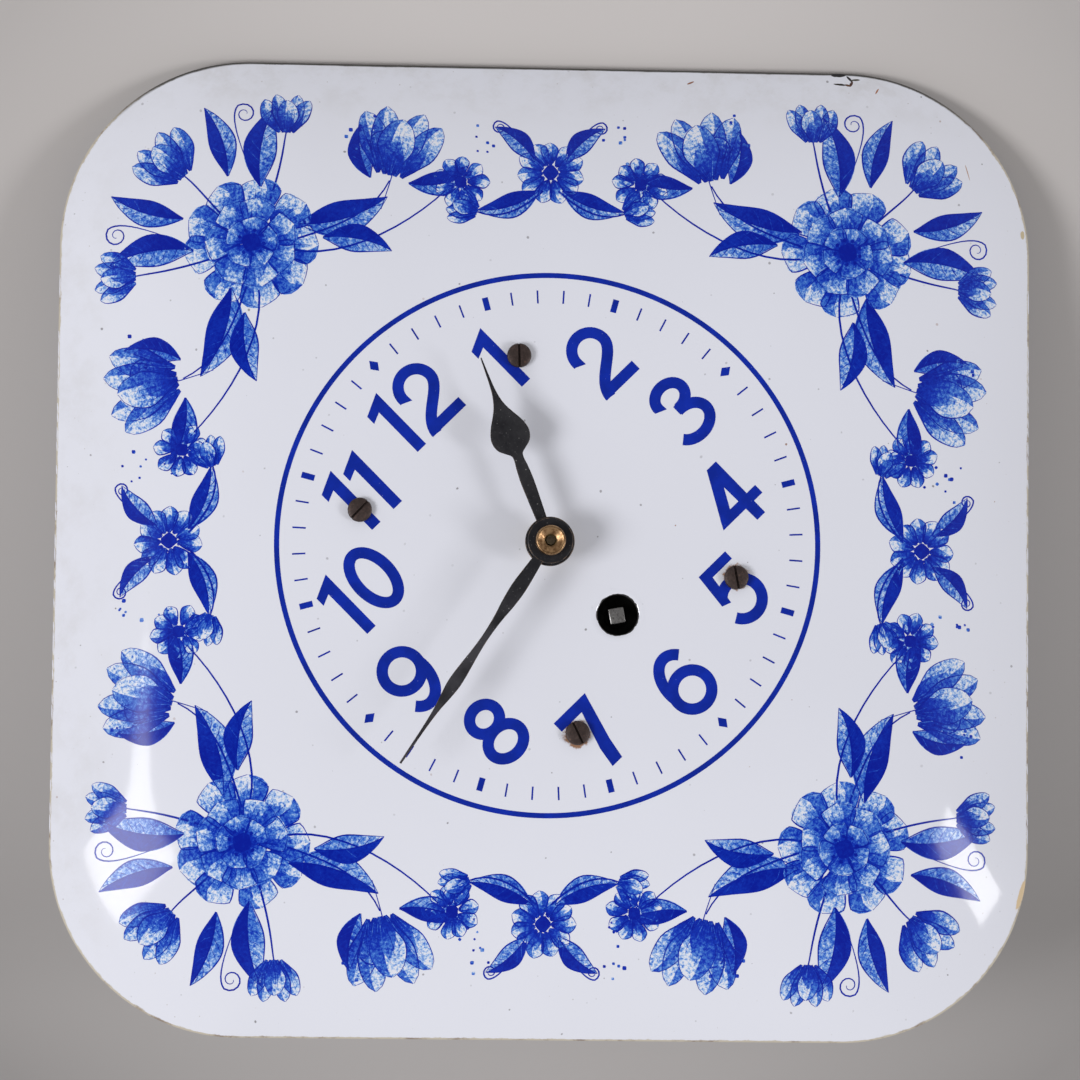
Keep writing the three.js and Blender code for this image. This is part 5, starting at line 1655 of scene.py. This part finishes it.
class CLOCK_OT_stage(bpy.types.Operator):
    """Backdrop, soft lamps and camera"""

    bl_idname = "clock.stage"
    bl_label = "Stage"

    def execute(self, context):
        self.backdrop()
        self.world()
        for side, (place, size, degrees) in LAMPS.items():
            self.lamp(f"{side}_lamp", getattr(stage(), side), place, size, degrees)
        self.camera()
        bpy.context.scene.view_settings.view_transform = "Standard"
        return {"FINISHED"}

    @staticmethod
    def backdrop():
        bm = bmesh.new()
        bmesh.ops.create_grid(bm, x_segments=2, y_segments=2, size=WALL_HALF)
        hinge = Matrix.Translation(WALL_HINGE)
        lean = Matrix.Rotation(stage().lean, 4, Vector((1, 0, -1)))
        upright = hinge @ lean @ hinge.inverted() @ Matrix.Translation((0, WALL_GAP, 0))
        bmesh.ops.transform(bm, matrix=upright @ Matrix.Rotation(math.radians(90), 4, "X"), verts=bm.verts)
        mesh = bpy.data.meshes.new("wall")
        bm.to_mesh(mesh)
        bm.free()
        mesh.materials.append(finish_of("wall_paint", wall_paint))
        wall = bpy.data.objects.new("wall", mesh)
        bpy.context.scene.collection.objects.link(wall)

    @staticmethod
    def world():
        scene = bpy.context.scene
        scene.world = scene.world or bpy.data.worlds.new("Room")
        scene.world.use_nodes = True
        tree = scene.world.node_tree
        light = tree.nodes["Background"]
        light.inputs["Color"].default_value = (1.0, 0.99, 0.98, 1)
        axes = tree.nodes.new("ShaderNodeSeparateXYZ")
        tree.links.new(tree.nodes.new("ShaderNodeTexCoord").outputs["Generated"], axes.inputs[0])
        room = tree.nodes.new("ShaderNodeMapRange")
        fill = stage().fill
        room.inputs["From Min"].default_value = ROOM_NEAR
        room.inputs["From Max"].default_value = ROOM_FAR
        room.inputs["To Min"].default_value = ROOM_LEAST * fill
        room.inputs["To Max"].default_value = ROOM_MOST * fill
        tree.links.new(axes.outputs["Y"], room.inputs["Value"])
        tree.links.new(room.outputs["Result"], light.inputs["Strength"])

    @staticmethod
    def lamp(name, power, place, size, degrees):
        """A soft lamp that faces the dial's middle."""
        right, up, out = place
        data = bpy.data.lights.new(name, "AREA")
        data.shape = "RECTANGLE"
        data.size, data.size_y = size
        data.energy = power
        lamp = bpy.data.objects.new(name, data)
        middle = Vector((0, -PLATE.front * MM, 0))
        lamp.location = middle + Vector(((right + up) * ROOT_HALF, -out, (up - right) * ROOT_HALF))
        aim = (middle - lamp.location).to_track_quat("-Z", "Y").to_matrix()
        lamp.rotation_euler = (aim @ Matrix.Rotation(math.radians(degrees), 3, "Z")).to_euler()
        bpy.context.scene.collection.objects.link(lamp)

    @staticmethod
    def camera():
        data = bpy.data.cameras.new("camera")
        data.lens = stage().lens
        data.sensor_width = 36
        data.clip_start = 0.01
        camera = bpy.data.objects.new("camera", data)
        camera.location = CAMERA_PLACE
        level = (CAMERA_SIGHT - CAMERA_PLACE).to_track_quat("-Z", "Y").to_matrix()
        camera.rotation_euler = (level @ Matrix.Rotation(-stage().roll, 3, "Z")).to_euler()
        bpy.context.scene.collection.objects.link(camera)
        bpy.context.scene.camera = camera


class CLOCK_PT_sidebar(bpy.types.Panel):
    """Sizes, colours and steps of the clock"""

    bl_label = "Kitchen clock"
    bl_idname = "CLOCK_PT_sidebar"
    bl_space_type = "VIEW_3D"
    bl_region_type = "UI"
    bl_category = "Clock"

    def draw(self, context):
        for pointer, settings in SETTINGS.items():
            box = self.layout.box()
            for name in settings.__annotations__:
                box.prop(getattr(context.scene, pointer), name)
        for step in STEPS:
            self.layout.operator(step.bl_idname)


SETTINGS = {
    "clock_dial": DialSettings,
    "clock_print": PrintSettings,
    "clock_flowers": FlowerSettings,
    "clock_hands": HandSettings,
    "clock_fittings": FittingSettings,
    "clock_stage": StageSettings,
}
STEPS = (
    CLOCK_OT_dial_plate,
    CLOCK_OT_minute_track,
    CLOCK_OT_numerals,
    CLOCK_OT_flower_sprays,
    CLOCK_OT_hands,
    CLOCK_OT_hand_nut,
    CLOCK_OT_dial_screws,
    CLOCK_OT_winding_arbor,
    CLOCK_OT_dust_cover,
    CLOCK_OT_hanger,
    CLOCK_OT_movement,
    CLOCK_OT_stage,
)


def register():
    for settings in SETTINGS.values():
        bpy.utils.register_class(settings)
    for pointer, settings in SETTINGS.items():
        setattr(bpy.types.Scene, pointer, PointerProperty(type=settings))
    for step in STEPS:
        bpy.utils.register_class(step)
    bpy.utils.register_class(CLOCK_PT_sidebar)


def unregister():
    bpy.utils.unregister_class(CLOCK_PT_sidebar)
    for step in reversed(STEPS):
        bpy.utils.unregister_class(step)
    for pointer in SETTINGS:
        delattr(bpy.types.Scene, pointer)
    for settings in SETTINGS.values():
        bpy.utils.unregister_class(settings)


def main():
    register()
    bpy.ops.clock.dial_plate()
    bpy.ops.clock.minute_track()
    bpy.ops.clock.numerals()
    bpy.ops.clock.flower_sprays()
    bpy.ops.clock.hands()
    bpy.ops.clock.hand_nut()
    bpy.ops.clock.dial_screws()
    bpy.ops.clock.winding_arbor()
    bpy.ops.clock.dust_cover()
    bpy.ops.clock.hanger()
    bpy.ops.clock.movement()
    bpy.ops.clock.stage()


if __name__ == "__main__":
    main()
